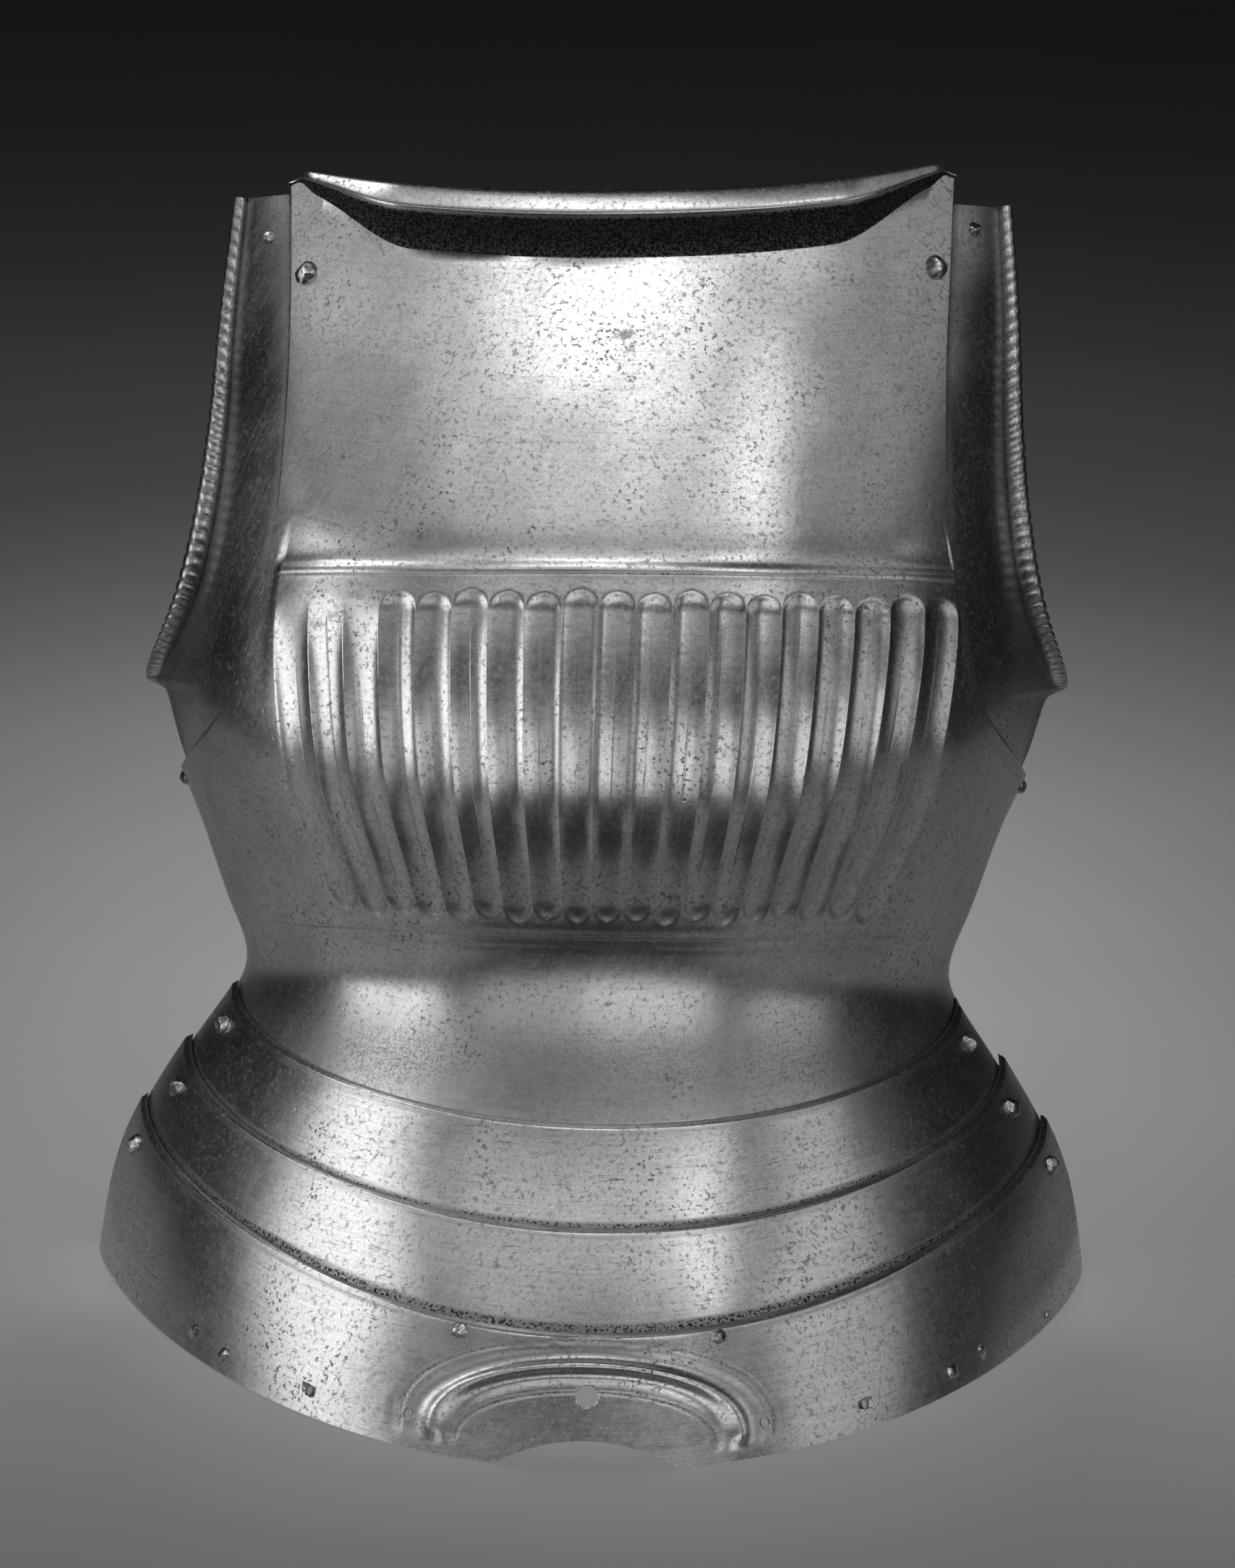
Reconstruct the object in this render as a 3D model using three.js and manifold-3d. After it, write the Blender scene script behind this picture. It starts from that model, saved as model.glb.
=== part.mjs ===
// A steel breastplate of the fluted kind, with an armhole gusset at each side and a skirt of three lames.
// Millimetres, +Z up. The front faces -Y and +X is the right-hand side of someone looking at it.
// The torso is drawn upright, with z = 0 at the waist, then the whole piece is leaned back onto the
// level lower edge of its skirt, as it stands by itself on a table.
import * as THREE from 'three';
import { mergeVertices } from 'three/addons/utils/BufferGeometryUtils.js';
import Module from 'manifold-3d';

const wasm = await Module();
wasm.setup();

// Sheet metal
const PLATE_THICKNESS = 2.0;
const GUSSET_THICKNESS = 1.8;
const LAME_THICKNESS = 1.6;
const GUSSET_GAP = 1.0; // between the main plate and the gusset under it
const LAP_GAP = 0.8; // between one plate of the skirt and the next

// The torso's cross-sections. half: half the width; front: y of the middle of the front; back: y of the
// side; bow: 1 is an ellipse, 2 a parabola, which is more pointed in front and straighter at the side.
const TORSO = [
  { z: -175, half: 203, front: -200, back: 0, bow: 1.4 },
  { z: -110, half: 193, front: -180, back: 0, bow: 1.4 },
  { z: -70, half: 185, front: -163, back: 0, bow: 1.4 },
  { z: -40, half: 169, front: -152.5, back: -2, bow: 1.35 },
  { z: -15, half: 152, front: -147.5, back: -5, bow: 1.3 },
  { z: 3, half: 142.5, front: -147.5, back: -8, bow: 1.25 },
  { z: 25, half: 148, front: -153, back: -10, bow: 1.2 },
  { z: 45, half: 155, front: -166, back: -11.2, bow: 1.17 },
  { z: 65, half: 162, front: -178.5, back: -12.3, bow: 1.14 },
  { z: 85, half: 170.7, front: -183, back: -13.4, bow: 1.12 },
  { z: 105, half: 177.2, front: -182.5, back: -14, bow: 1.09 },
  { z: 150, half: 178, front: -173.5, back: -14, bow: 1.05 },
  { z: 220, half: 177, front: -150, back: -14, bow: 1.05 },
  { z: 283, half: 176, front: -122.5, back: -14, bow: 1.05 },
  { z: 325, half: 173, front: -106, back: -14, bow: 1.05 },
];
const SIDE_RADIUS = 100; // past the side the wall runs straight back, this far for each radian of turn

// The side edge of the main plate, which laps over the gusset above the flank. x: half the plate's width.
const PLATE_SIDE_TURN = 88;
const SEAM_FOOT = 84;
const SEAM = [
  { z: 80, x: 175 },
  { z: 86, x: 168.5 },
  { z: 93, x: 160 },
  { z: 101, x: 152 },
  { z: 111, x: 145.5 },
  { z: 123, x: 141.3 },
  { z: 140, x: 137 },
  { z: 160, x: 132.3 },
  { z: 185, x: 128.6 },
  { z: 220, x: 127 },
  { z: 270, x: 127.8 },
  { z: 325, x: 130 },
];

// The fluting: hollow channels side by side, with a sharp ridge between each two.
const FLUTES = 19;
const FLUTE_DEPTH = 2.6;
const RIDGE_HEIGHT = 0.4;
const FLUTE_BAND = [
  { z: -60, x: 116 },
  { z: -15, x: 104 },
  { z: 20, x: 101 },
  { z: 50, x: 112.5 },
  { z: 80, x: 123.5 },
  { z: 103, x: 132.5 },
  { z: 123, x: 136.8 },
  { z: 151, x: 131 },
  { z: 200, x: 118 },
  { z: 325, x: 108 },
];

// Heights up the main plate. low: how far a row follows the plate's lower edge; high: the same for the
// neck; flute: how deep the channels are there; swell: the low step of the borders. The lowest row lies
// behind the first lame.
const PLATE_ROWS = [
  { z: -60, low: 1, high: 0, flute: 0, swell: 0 },
  { z: -40, low: 0.92, high: 0, flute: 0, swell: 0 },
  { z: -20, low: 0.7, high: 0, flute: 0, swell: 0 },
  { z: -3, low: 0.35, high: 0, flute: 0, swell: 0 },
  { z: 11, low: 0.1, high: 0, flute: 0, swell: 0 },
  { z: 29, low: 0, high: 0, flute: 0, swell: 0.5 },
  { z: 37, low: 0, high: 0, flute: 1, swell: 0 },
  { z: 60, low: 0, high: 0, flute: 1, swell: 0 },
  { z: 80, low: 0, high: 0, flute: 1, swell: 0 },
  { z: 92, low: 0, high: 0, flute: 1, swell: 0 },
  { z: 106, low: 0, high: 0, flute: 1, swell: 0 },
  { z: 124, low: 0, high: 0, flute: 1, swell: 0 },
  { z: 142, low: 0, high: 0, flute: 1, swell: 0 },
  { z: 151, low: 0, high: 0, flute: 0, swell: 0.6 },
  { z: 158, low: 0, high: 0, flute: 0, swell: 0.9 },
  { z: 165, low: 0, high: 0, flute: 0, swell: -0.6 },
  { z: 200, low: 0, high: 0.03, flute: 0, swell: 0 },
  { z: 250, low: 0, high: 0.35, flute: 0, swell: 0 },
  { z: 305, low: 0, high: 1, flute: 0, swell: 0 },
];
const FLANK_COLUMNS = 4; // columns between the fluting and the plate's side edge

// The neck: a bold angular turned edge. out: how far it stands in front of the chest; down: how far below
// the top of the neck.
const NECK_TOP = 305.5;
const NECK_RISE = 9; // how much higher the neck is 100 mm to either side of its middle
const NECK_CORNER_DROP = 6; // the plate's top corner is cut off by this much
const NECK_HALF_LENGTH = 121;
const NECK_FULL_LENGTH = 84; // half the length over which the turned edge has its full size
const NECK_END_SIZE = 0.3;
const NECK_PROFILE = [
  { out: -1, down: 26 },
  { out: 0.2, down: 26 },
  { out: 1.9, down: 20 },
  { out: 5.2, down: 14.6 },
  { out: 9.8, down: 10.8 },
  { out: 14, down: 9 },
  { out: 9, down: 4.4 },
  { out: 3.4, down: 0.2 },
];
const NECK_COLUMNS = 16;

// The gusset, from its top down to its foot under the flank. in: height of its inner edge; z and turn:
// where its armhole edge lies; tuck: how much deeper its inner edge lies, to clear the fluting; lift: how
// far the armhole edge stands off the torso; roll: radius of its roll.
const GUSSET_LAP = 6; // degrees of turn that the gusset reaches under the main plate
const GUSSET_ROWS = [
  { in: 306, z: 306, turn: 60.4, tuck: 0, lift: 0, roll: 2.8 },
  { in: 284, z: 284, turn: 60.6, tuck: 0, lift: 0, roll: 3.1 },
  { in: 258, z: 258, turn: 61, tuck: 0, lift: 0, roll: 3.5 },
  { in: 230, z: 230, turn: 61.3, tuck: 0, lift: 0, roll: 3.9 },
  { in: 202, z: 202, turn: 62.4, tuck: 0, lift: 0.1, roll: 4.3 },
  { in: 178, z: 176, turn: 64.6, tuck: 1.5, lift: 0.3, roll: 4.6 },
  { in: 160, z: 156, turn: 67.5, tuck: 2.8, lift: 0.6, roll: 4.7 },
  { in: 146, z: 141, turn: 71.5, tuck: 3.2, lift: 0.9, roll: 4.7 },
  { in: 135, z: 130.5, turn: 77, tuck: 3.2, lift: 1.4, roll: 4.6 },
  { in: 126, z: 124, turn: 83, tuck: 3.2, lift: 2.2, roll: 4.4 },
  { in: 119, z: 121, turn: 88.5, tuck: 3.2, lift: 3.4, roll: 4 },
  { in: 115, z: 119.5, turn: 92.5, tuck: 3.2, lift: 5, roll: 3.4 },
  { in: 111, z: 114.5, turn: 92, tuck: 3.2, lift: 2, roll: 1 },
  { in: 104, z: 107, turn: 90.5, tuck: 3.2, lift: 0.6, roll: 0.9 },
  { in: 95, z: 97, turn: 89.5, tuck: 3, lift: 0, roll: 0.9 },
  { in: 84, z: 86, turn: 88.5, tuck: 2.2, lift: 0, roll: 0.9 },
  { in: 74, z: 75, turn: 88, tuck: 1.6, lift: 0, roll: 0.9 },
];
const GUSSET_COLUMNS = 4;
const ROLL_SIDES = 6;
const ROLL_SEAM_ANGLE = -20; // where the two halves of the roll's round meet, in degrees

// The skirt's edges, each cut by a sloping plane. front: height in the middle; slope: rise towards the back.
const EDGES = {
  lame_1: { front: -46.6, slope: 0.31 },
  lame_2: { front: -82.4, slope: 0.36 },
  lame_3: { front: -117.8, slope: 0.39 },
  foot: { front: -165.8, slope: 0.28 },
};
const LAME_LAP = 16; // how far a lame reaches down behind the next one
const LAME_SIDE_TURN = 83;
const LAME_ROWS = [0, 0.33, 0.66, 1]; // shares of a lame's height
const LAME_FOOT_ROWS = [0, 0.35, 0.7, 1];
const LAME_SIDE_COLUMNS = 14;
const LAME_MIDDLE_COLUMNS = 6;
const LEAN = Math.atan(EDGES.foot.slope); // stands the skirt's lower edge level

// The arch at the middle of the skirt's lower edge
const ARCH_HALF_WIDTH = 32.2;
const ARCH_HEIGHT = 10;
const ARCH_ROLL_RADIUS = 2.3;
const ARCH_RIDGE = { halfWidth: 54, foot: 9, top: 34, radius: 2.4 }; // heights above the edge

// Rivets. head: radius of the head; rise: its height; shank: radius of the shank; clench: radius of the
// clench inside; sides: facets round it.
const HOLE_CLEARANCE = 0.6; // between a shank and the hole round it
const SEAT_GAP = 0.8; // between a head or a clench and the sheet under it
const RIVET_KINDS = {
  shoulder: { head: 4.2, rise: 3.8, shank: 1.9, clench: 4.0, sides: 8 },
  gusset: { head: 2.9, rise: 1.9, shank: 1.5, clench: 2.9, sides: 8 },
  pivot: { head: 4.0, rise: 3.4, shank: 2.0, clench: 3.8, sides: 8 },
  strap: { head: 3.6, rise: 0.9, shank: 1.6, clench: 3.4, sides: 7 },
  leather: { head: 3.4, rise: 1.5, shank: 1.5, clench: 0, sides: 7 },
};
const CLENCH_THICKNESS = 1.2;
// deeper: how much further in the clench lies, where its sheet is tucked in or sharply curved.
const RIVETS = [
  { name: 'rivet_shoulder', kind: 'shoulder', x: 121.5, z: 278, from: 'plate', to: 'gusset' },
  { name: 'rivet_gusset_top', kind: 'gusset', x: 140, z: 295, from: 'gusset', to: 'gusset' },
  { name: 'rivet_gusset_foot', kind: 'gusset', turn: 85, z: 79.5, from: 'plate', to: 'gusset', deeper: 0.8 },
  { name: 'rivet_lame_1', kind: 'pivot', turn: 69, z: -22, from: 'lame_1', to: 'plate', deeper: 0.2 },
  { name: 'rivet_lame_2', kind: 'pivot', turn: 69, z: -48, from: 'lame_2', to: 'lame_1' },
  { name: 'rivet_lame_3', kind: 'pivot', turn: 72, z: -72, from: 'lame_3', to: 'lame_2', deeper: 0.3 },
  { name: 'rivet_strap_outer', kind: 'strap', x: 145, z: -135, from: 'lame_3', to: 'lame_3' },
  { name: 'rivet_strap_inner', kind: 'strap', x: 133, z: -141.5, from: 'lame_3', to: 'lame_3' },
  { name: 'rivet_leather', kind: 'leather', x: 45.5, z: -124, from: 'lame_3', to: 'lame_3' },
];

// Open holes in the last lame: half of them for straps, one large one under the arch's ridge.
const HOLE_SIDES = 8;
const HOLES = [
  { x: 0, z: -144.6, radius: 4.2 },
  { x: 63, z: -154, radius: 1.9 },
  { x: -63, z: -154, radius: 1.9 },
  { x: 99.5, z: -149.5, radius: 1.9 },
  { x: -99.5, z: -149.5, radius: 1.9 },
  { x: -182, z: -123, radius: 1.6 },
  { x: 173, z: -126, radius: 1.6 },
  { x: 190, z: -108, radius: 1.6 },
];

const STEEL = { roughness: 0.34, metalness: 1 };
const COLOURS = {
  plate: '#9a9c9e',
  gusset: '#8f9193',
  lame: '#8b8d90',
  rivet: '#6f7072',
};

// ---- Curves ----------------------------------------------------------------------------------------

// A natural cubic spline of one column of a table against its z.
function splineOf(table, column) {
  const z = table.map((row) => row.z);
  const value = table.map((row) => row[column]);
  const last = z.length - 1;
  const bend = new Array(z.length).fill(0);
  const carry = new Array(z.length).fill(0);
  for (let i = 1; i < last; i++) {
    const before = z[i] - z[i - 1];
    const after = z[i + 1] - z[i];
    const turn = (value[i + 1] - value[i]) / after - (value[i] - value[i - 1]) / before;
    const pivot = 2 * (before + after) - before * carry[i - 1];
    carry[i] = after / pivot;
    bend[i] = (6 * turn - before * bend[i - 1]) / pivot;
  }
  for (let i = last - 1; i > 0; i--) {
    bend[i] -= carry[i] * bend[i + 1];
  }
  return (at) => {
    let i = 0;
    while (i < last - 1 && at > z[i + 1]) {
      i++;
    }
    const step = z[i + 1] - z[i];
    const a = (z[i + 1] - at) / step;
    const b = 1 - a;
    const cubic = (a ** 3 - a) * bend[i] + (b ** 3 - b) * bend[i + 1];
    return a * value[i] + b * value[i + 1] + (cubic * step * step) / 6;
  };
}

const torsoHalf = splineOf(TORSO, 'half');
const torsoFront = splineOf(TORSO, 'front');
const torsoBack = splineOf(TORSO, 'back');
const torsoBow = splineOf(TORSO, 'bow');
const seamHalf = splineOf(SEAM, 'x');
const fluteHalf = splineOf(FLUTE_BAND, 'x');

const radians = THREE.MathUtils.degToRad;
const mix = THREE.MathUtils.lerp;
const smooth = THREE.MathUtils.smoothstep;

// The torso's surface. turn is in radians from the middle of the front, positive to the right.
function torsoPoint(turn, z) {
  const side = Math.sign(turn) || 1;
  const swing = Math.min(Math.abs(turn), Math.PI / 2);
  const past = (Math.abs(turn) - swing) * SIDE_RADIUS;
  const depth = torsoBack(z) - torsoFront(z);
  const x = side * torsoHalf(z) * Math.sin(swing);
  const y = torsoBack(z) - depth * Math.max(Math.cos(swing), 0) ** torsoBow(z) + past;
  return new THREE.Vector3(x, y, z);
}

function torsoNormal(turn, z) {
  const step = 0.02;
  const nearSide = Math.PI / 2 - step;
  const held = Math.max(-nearSide, Math.min(nearSide, turn));
  const across = torsoPoint(held + step, z).sub(torsoPoint(held - step, z));
  const up = torsoPoint(held, z + 1).sub(torsoPoint(held, z - 1));
  return across.cross(up).normalize();
}

// A point standing off the torso's surface along its normal.
function offTorso(turn, z, distance) {
  return torsoPoint(turn, z).addScaledVector(torsoNormal(turn, z), distance);
}

// The turn at which the torso is x wide at height z.
function turnAt(x, z) {
  return Math.asin(Math.max(-1, Math.min(1, x / torsoHalf(z))));
}

// The height at which a surface standing off the torso crosses one of the skirt's sloping edges.
function edgeHeight(edge, turn, distance, drop = 0) {
  let z = edge.front - drop;
  for (let pass = 0; pass < 6; pass++) {
    const middle = offTorso(0, edge.front, 0);
    const point = offTorso(turn, z, distance);
    const wanted = edge.front - drop + edge.slope * (point.y - middle.y);
    z += wanted - point.z;
  }
  return z;
}

// ---- Solids ----------------------------------------------------------------------------------------

function geometryOf(points, faces) {
  const geometry = new THREE.BufferGeometry();
  geometry.setAttribute('position', new THREE.Float32BufferAttribute(points.flatMap((p) => [p.x, p.y, p.z]), 3));
  geometry.setIndex(faces);
  return geometry;
}

// A sheet between two grids of points, rows running up and columns to the right, seen from outside.
function sheet(outer, inner) {
  const rows = outer.length;
  const columns = outer[0].length;
  const at = (side, row, column) => (side * rows + row) * columns + column;
  const faces = [];
  const quad = (a, b, c, d) => faces.push(a, b, c, a, c, d);
  for (let r = 0; r + 1 < rows; r++) {
    for (let c = 0; c + 1 < columns; c++) {
      quad(at(0, r, c), at(0, r, c + 1), at(0, r + 1, c + 1), at(0, r + 1, c));
      quad(at(1, r, c), at(1, r + 1, c), at(1, r + 1, c + 1), at(1, r, c + 1));
    }
  }
  for (let c = 0; c + 1 < columns; c++) {
    const top = rows - 1;
    quad(at(1, 0, c), at(1, 0, c + 1), at(0, 0, c + 1), at(0, 0, c));
    quad(at(0, top, c), at(0, top, c + 1), at(1, top, c + 1), at(1, top, c));
  }
  for (let r = 0; r + 1 < rows; r++) {
    const end = columns - 1;
    quad(at(0, r, 0), at(0, r + 1, 0), at(1, r + 1, 0), at(1, r, 0));
    quad(at(0, r, end), at(1, r, end), at(1, r + 1, end), at(0, r + 1, end));
  }
  return geometryOf([...outer.flat(), ...inner.flat()], faces);
}

// A bar through closed loops of points, each loop running anticlockwise as seen from the bar's far end.
// Its ends are closed by fans from each loop's first point.
function bar(loops) {
  const sides = loops[0].length;
  const last = (loops.length - 1) * sides;
  const faces = [];
  for (let i = 0; i + 1 < loops.length; i++) {
    for (let k = 0; k < sides; k++) {
      const next = (k + 1) % sides;
      const a = i * sides + k;
      const b = i * sides + next;
      faces.push(a, b, b + sides, a, b + sides, a + sides);
    }
  }
  for (let k = 1; k + 1 < sides; k++) {
    faces.push(0, k + 1, k);
    faces.push(last, last + k, last + k + 1);
  }
  return geometryOf(loops.flat(), faces);
}

function mirrored(geometry) {
  const copy = geometry.clone();
  copy.scale(-1, 1, 1);
  const index = copy.getIndex();
  for (let i = 0; i < index.count; i += 3) {
    const second = index.getX(i + 1);
    index.setX(i + 1, index.getX(i + 2));
    index.setX(i + 2, second);
  }
  return copy;
}

function solidOf(geometry) {
  const bare = geometry.clone();
  bare.deleteAttribute('normal');
  bare.deleteAttribute('uv');
  const merged = mergeVertices(bare, 1e-4);
  return new wasm.Manifold(new wasm.Mesh({
    numProp: 3,
    vertProperties: new Float32Array(merged.getAttribute('position').array),
    triVerts: new Uint32Array(merged.getIndex().array),
  }));
}

// Slivers narrower than this, left where two faces nearly meet, are closed up.
const SLIVER = 0.02;

function geometryFrom(solid) {
  const mesh = solid.simplify(SLIVER).getMesh();
  const geometry = new THREE.BufferGeometry();
  geometry.setAttribute('position', new THREE.BufferAttribute(new Float32Array(mesh.vertProperties), 3));
  geometry.setIndex(new THREE.BufferAttribute(new Uint32Array(mesh.triVerts), 1));
  return geometry;
}

function joined(...geometries) {
  return geometryFrom(geometries.map(solidOf).reduce((sum, next) => sum.add(next)));
}

// Stands a geometry made round +Z on the torso's surface, with +Z along the surface's normal.
function seated(geometry, turn, z) {
  const normal = torsoNormal(turn, z);
  const upright = new THREE.Quaternion().setFromUnitVectors(new THREE.Vector3(0, 0, 1), normal);
  const place = torsoPoint(turn, z);
  return geometry.applyMatrix4(new THREE.Matrix4().compose(place, upright, new THREE.Vector3(1, 1, 1)));
}

function lathe(profile, sides) {
  const points = profile.map(([radius, height]) => new THREE.Vector2(radius, height));
  return new THREE.LatheGeometry(points, sides).rotateX(Math.PI / 2);
}

// Drills round holes through a geometry, straight through the torso's surface at each place.
function drilled(geometry, places) {
  const drill = places.map((place) => {
    const reach = 12;
    const pin = lathe([[0, -reach], [place.radius, -reach], [place.radius, reach], [0, reach]], HOLE_SIDES);
    return solidOf(seated(pin, place.turn, place.z));
  });
  return geometryFrom(drill.reduce((rest, pin) => rest.subtract(pin), solidOf(geometry)));
}

// ---- Layers of sheet -------------------------------------------------------------------------------

// How far each sheet's outer face stands off the torso.
const LAYERS = {
  plate: { outer: 0, thickness: PLATE_THICKNESS },
  gusset: { outer: -PLATE_THICKNESS - GUSSET_GAP, thickness: GUSSET_THICKNESS },
  lame_1: { outer: LAP_GAP + LAME_THICKNESS, thickness: LAME_THICKNESS },
  lame_2: { outer: 2 * (LAP_GAP + LAME_THICKNESS), thickness: LAME_THICKNESS },
  lame_3: { outer: 3 * (LAP_GAP + LAME_THICKNESS), thickness: LAME_THICKNESS },
};

// ---- Rivets ----------------------------------------------------------------------------------------

function rivetPlace(rivet, side) {
  const turn = rivet.turn === undefined ? turnAt(rivet.x, rivet.z) : radians(rivet.turn);
  return { turn: side * turn, z: rivet.z };
}

// The clearance holes that the rivets need in one layer.
function rivetHoles(layer) {
  const places = [];
  for (const rivet of RIVETS) {
    if (rivet.from !== layer && rivet.to !== layer) {
      continue;
    }
    const radius = RIVET_KINDS[rivet.kind].shank + HOLE_CLEARANCE;
    for (const side of [-1, 1]) {
      places.push({ ...rivetPlace(rivet, side), radius });
    }
  }
  return places;
}

// A rivet: a domed head outside, a shank through the sheets and a flat clench inside. A kind with no clench
// is filed off level with the inside of its sheet.
function rivetGeometry(rivet, side) {
  const kind = RIVET_KINDS[rivet.kind];
  const under = LAYERS[rivet.from].outer + SEAT_GAP;
  const inside = LAYERS[rivet.to].outer - LAYERS[rivet.to].thickness - SEAT_GAP - (rivet.deeper ?? 0);
  const flush = inside + 2 * SEAT_GAP;
  const clench = [
    [0, inside - CLENCH_THICKNESS],
    [kind.clench, inside - CLENCH_THICKNESS],
    [kind.clench, inside],
    [kind.shank, inside],
  ];
  const profile = [
    ...(kind.clench > 0 ? clench : [[0, flush], [kind.shank, flush]]),
    [kind.shank, under],
    [kind.head, under],
    [kind.head * 0.8, under + kind.rise * 0.65],
    [0, under + kind.rise],
  ];
  const place = rivetPlace(rivet, side);
  return seated(lathe(profile, kind.sides), place.turn, place.z);
}

// ---- Main plate ------------------------------------------------------------------------------------

// The plate's side edge: at the flank it reaches the side, above it gives way to the gusset.
function plateSideTurn(z) {
  const side = radians(PLATE_SIDE_TURN);
  return z < SEAM_FOOT ? side : Math.min(side, turnAt(seamHalf(z), z));
}

function neckTop(x) {
  const corner = smooth(Math.abs(x), NECK_HALF_LENGTH - 2, NECK_HALF_LENGTH + 9);
  return NECK_TOP + NECK_RISE * (Math.abs(x) / 100) ** 2.2 - NECK_CORNER_DROP * corner;
}

// Columns across one half of the plate: 0 to 1 spans the fluting, 1 to 2 the flank beside it.
function plateColumns() {
  const half = [];
  for (let k = 1; k <= FLUTES; k++) {
    half.push(k / FLUTES);
  }
  for (let k = 1; k <= FLANK_COLUMNS; k++) {
    half.push(1 + k / FLANK_COLUMNS);
  }
  return [...half.map((column) => -column).reverse(), 0, ...half];
}

function columnTurn(column, z) {
  const size = Math.abs(column);
  const band = turnAt(Math.min(fluteHalf(z) * Math.min(size, 1), torsoHalf(z)), z);
  const turn = size <= 1 ? band : mix(turnAt(fluteHalf(z), z), plateSideTurn(z), size - 1);
  return Math.sign(column) * turn;
}

// The hollow of the channels: the odd columns are ridges, the even ones, and the middle, are hollows.
function fluteRelief(column) {
  const nth = Math.round(column * FLUTES);
  if (Math.abs(nth) > FLUTES) {
    return 0;
  }
  return Math.abs(nth) % 2 === 1 ? RIDGE_HEIGHT : RIDGE_HEIGHT - FLUTE_DEPTH;
}

function plateHeight(row, turn) {
  const edge = { front: row.z, slope: EDGES.lame_1.slope };
  const rise = edgeHeight(edge, turn, 0) - row.z;
  const lift = neckTop(torsoPoint(turn, NECK_TOP).x) - NECK_TOP;
  return row.z + row.low * rise + row.high * lift;
}

function plateSheet() {
  const outer = [];
  const inner = [];
  for (const row of PLATE_ROWS) {
    const front = [];
    const behind = [];
    for (const column of plateColumns()) {
      const z = plateHeight(row, columnTurn(column, row.z));
      const turn = columnTurn(column, z);
      const taper = 1 - smooth(Math.abs(column), 1, 1.5);
      const relief = row.flute * fluteRelief(column) + row.swell * taper;
      front.push(offTorso(turn, z, relief));
      behind.push(offTorso(turn, z, relief - PLATE_THICKNESS));
    }
    outer.push(front);
    inner.push(behind);
  }
  return sheet(outer, inner);
}

// The turned edge of the neck, a three-sided roll that dies away towards the shoulders.
function neckRoll() {
  const loops = [];
  for (let i = 0; i <= NECK_COLUMNS; i++) {
    const x = NECK_HALF_LENGTH * ((2 * i) / NECK_COLUMNS - 1);
    const fade = smooth(Math.abs(x), NECK_FULL_LENGTH, NECK_HALF_LENGTH);
    const size = mix(1, NECK_END_SIZE, fade);
    const top = neckTop(x);
    const turn = turnAt(x, top);
    const level = torsoNormal(turn, top);
    level.setZ(0).normalize();
    const loop = NECK_PROFILE.map(({ out, down }) => {
      const z = top - down * size;
      return torsoPoint(turn, z).addScaledVector(level, out < 0 ? out : out * size);
    });
    loop.unshift(torsoPoint(turn, top - 1.6).addScaledVector(level, -1));
    loops.push(loop);
  }
  return bar(loops);
}

function breastPlate() {
  return drilled(joined(plateSheet(), neckRoll()), rivetHoles('plate'));
}

// ---- Gussets ---------------------------------------------------------------------------------------

// One row across the right-hand gusset, from its inner edge to the roll along the armhole.
function gussetRow(row) {
  const layer = LAYERS.gusset;
  const outer = [];
  const inner = [];
  const inTurn = plateSideTurn(row.in) - radians(GUSSET_LAP);
  const outTurn = radians(row.turn);
  for (let c = 0; c < GUSSET_COLUMNS; c++) {
    const share = c / GUSSET_COLUMNS;
    const turn = mix(inTurn, outTurn, share);
    const z = mix(row.in, row.z, share);
    const lift = layer.outer + row.lift * share ** 3 - row.tuck * (1 - share) ** 1.5;
    outer.push(offTorso(turn, z, lift));
    inner.push(offTorso(turn, z, lift - layer.thickness));
  }
  const normal = torsoNormal(outTurn, row.z);
  const foot = offTorso(outTurn, row.z, layer.outer + row.lift - layer.thickness);
  const outward = foot.clone().sub(inner[inner.length - 1]);
  outward.addScaledVector(normal, -outward.dot(normal)).normalize();
  const centre = foot.clone().addScaledVector(normal, row.roll);
  const onRoll = (angle) => centre.clone()
    .addScaledVector(outward, row.roll * Math.cos(angle))
    .addScaledVector(normal, row.roll * Math.sin(angle));
  const start = Math.PI - Math.asin(Math.min(1, (layer.thickness - row.roll) / row.roll));
  const finish = radians(ROLL_SEAM_ANGLE);
  outer.push(onRoll(start));
  inner.push(foot.clone().addScaledVector(outward, row.roll * Math.cos(start)));
  for (let k = 1; k <= ROLL_SIDES; k++) {
    outer.push(onRoll(mix(start, finish + 0.15, k / ROLL_SIDES)));
    inner.push(onRoll(mix(-Math.PI / 2, finish, (k - 1) / (ROLL_SIDES - 1))));
  }
  return { outer, inner };
}

function gusset() {
  const rows = [...GUSSET_ROWS].reverse().map(gussetRow);
  return drilled(
    sheet(rows.map((row) => row.outer), rows.map((row) => row.inner)),
    rivetHoles('gusset').filter((place) => place.turn > 0),
  );
}

// ---- Skirt -----------------------------------------------------------------------------------------

// Turns of the columns across a lame, closer together over the arch in the middle.
function lameTurns() {
  const side = radians(LAME_SIDE_TURN);
  const arch = turnAt(ARCH_HALF_WIDTH, EDGES.foot.front);
  const half = [];
  for (let k = 1; k <= LAME_MIDDLE_COLUMNS / 2; k++) {
    half.push((arch * k) / (LAME_MIDDLE_COLUMNS / 2));
  }
  for (let k = 1; k <= LAME_SIDE_COLUMNS; k++) {
    half.push(mix(arch, side, k / LAME_SIDE_COLUMNS));
  }
  return [...half.map((turn) => -turn).reverse(), 0, ...half];
}

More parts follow.
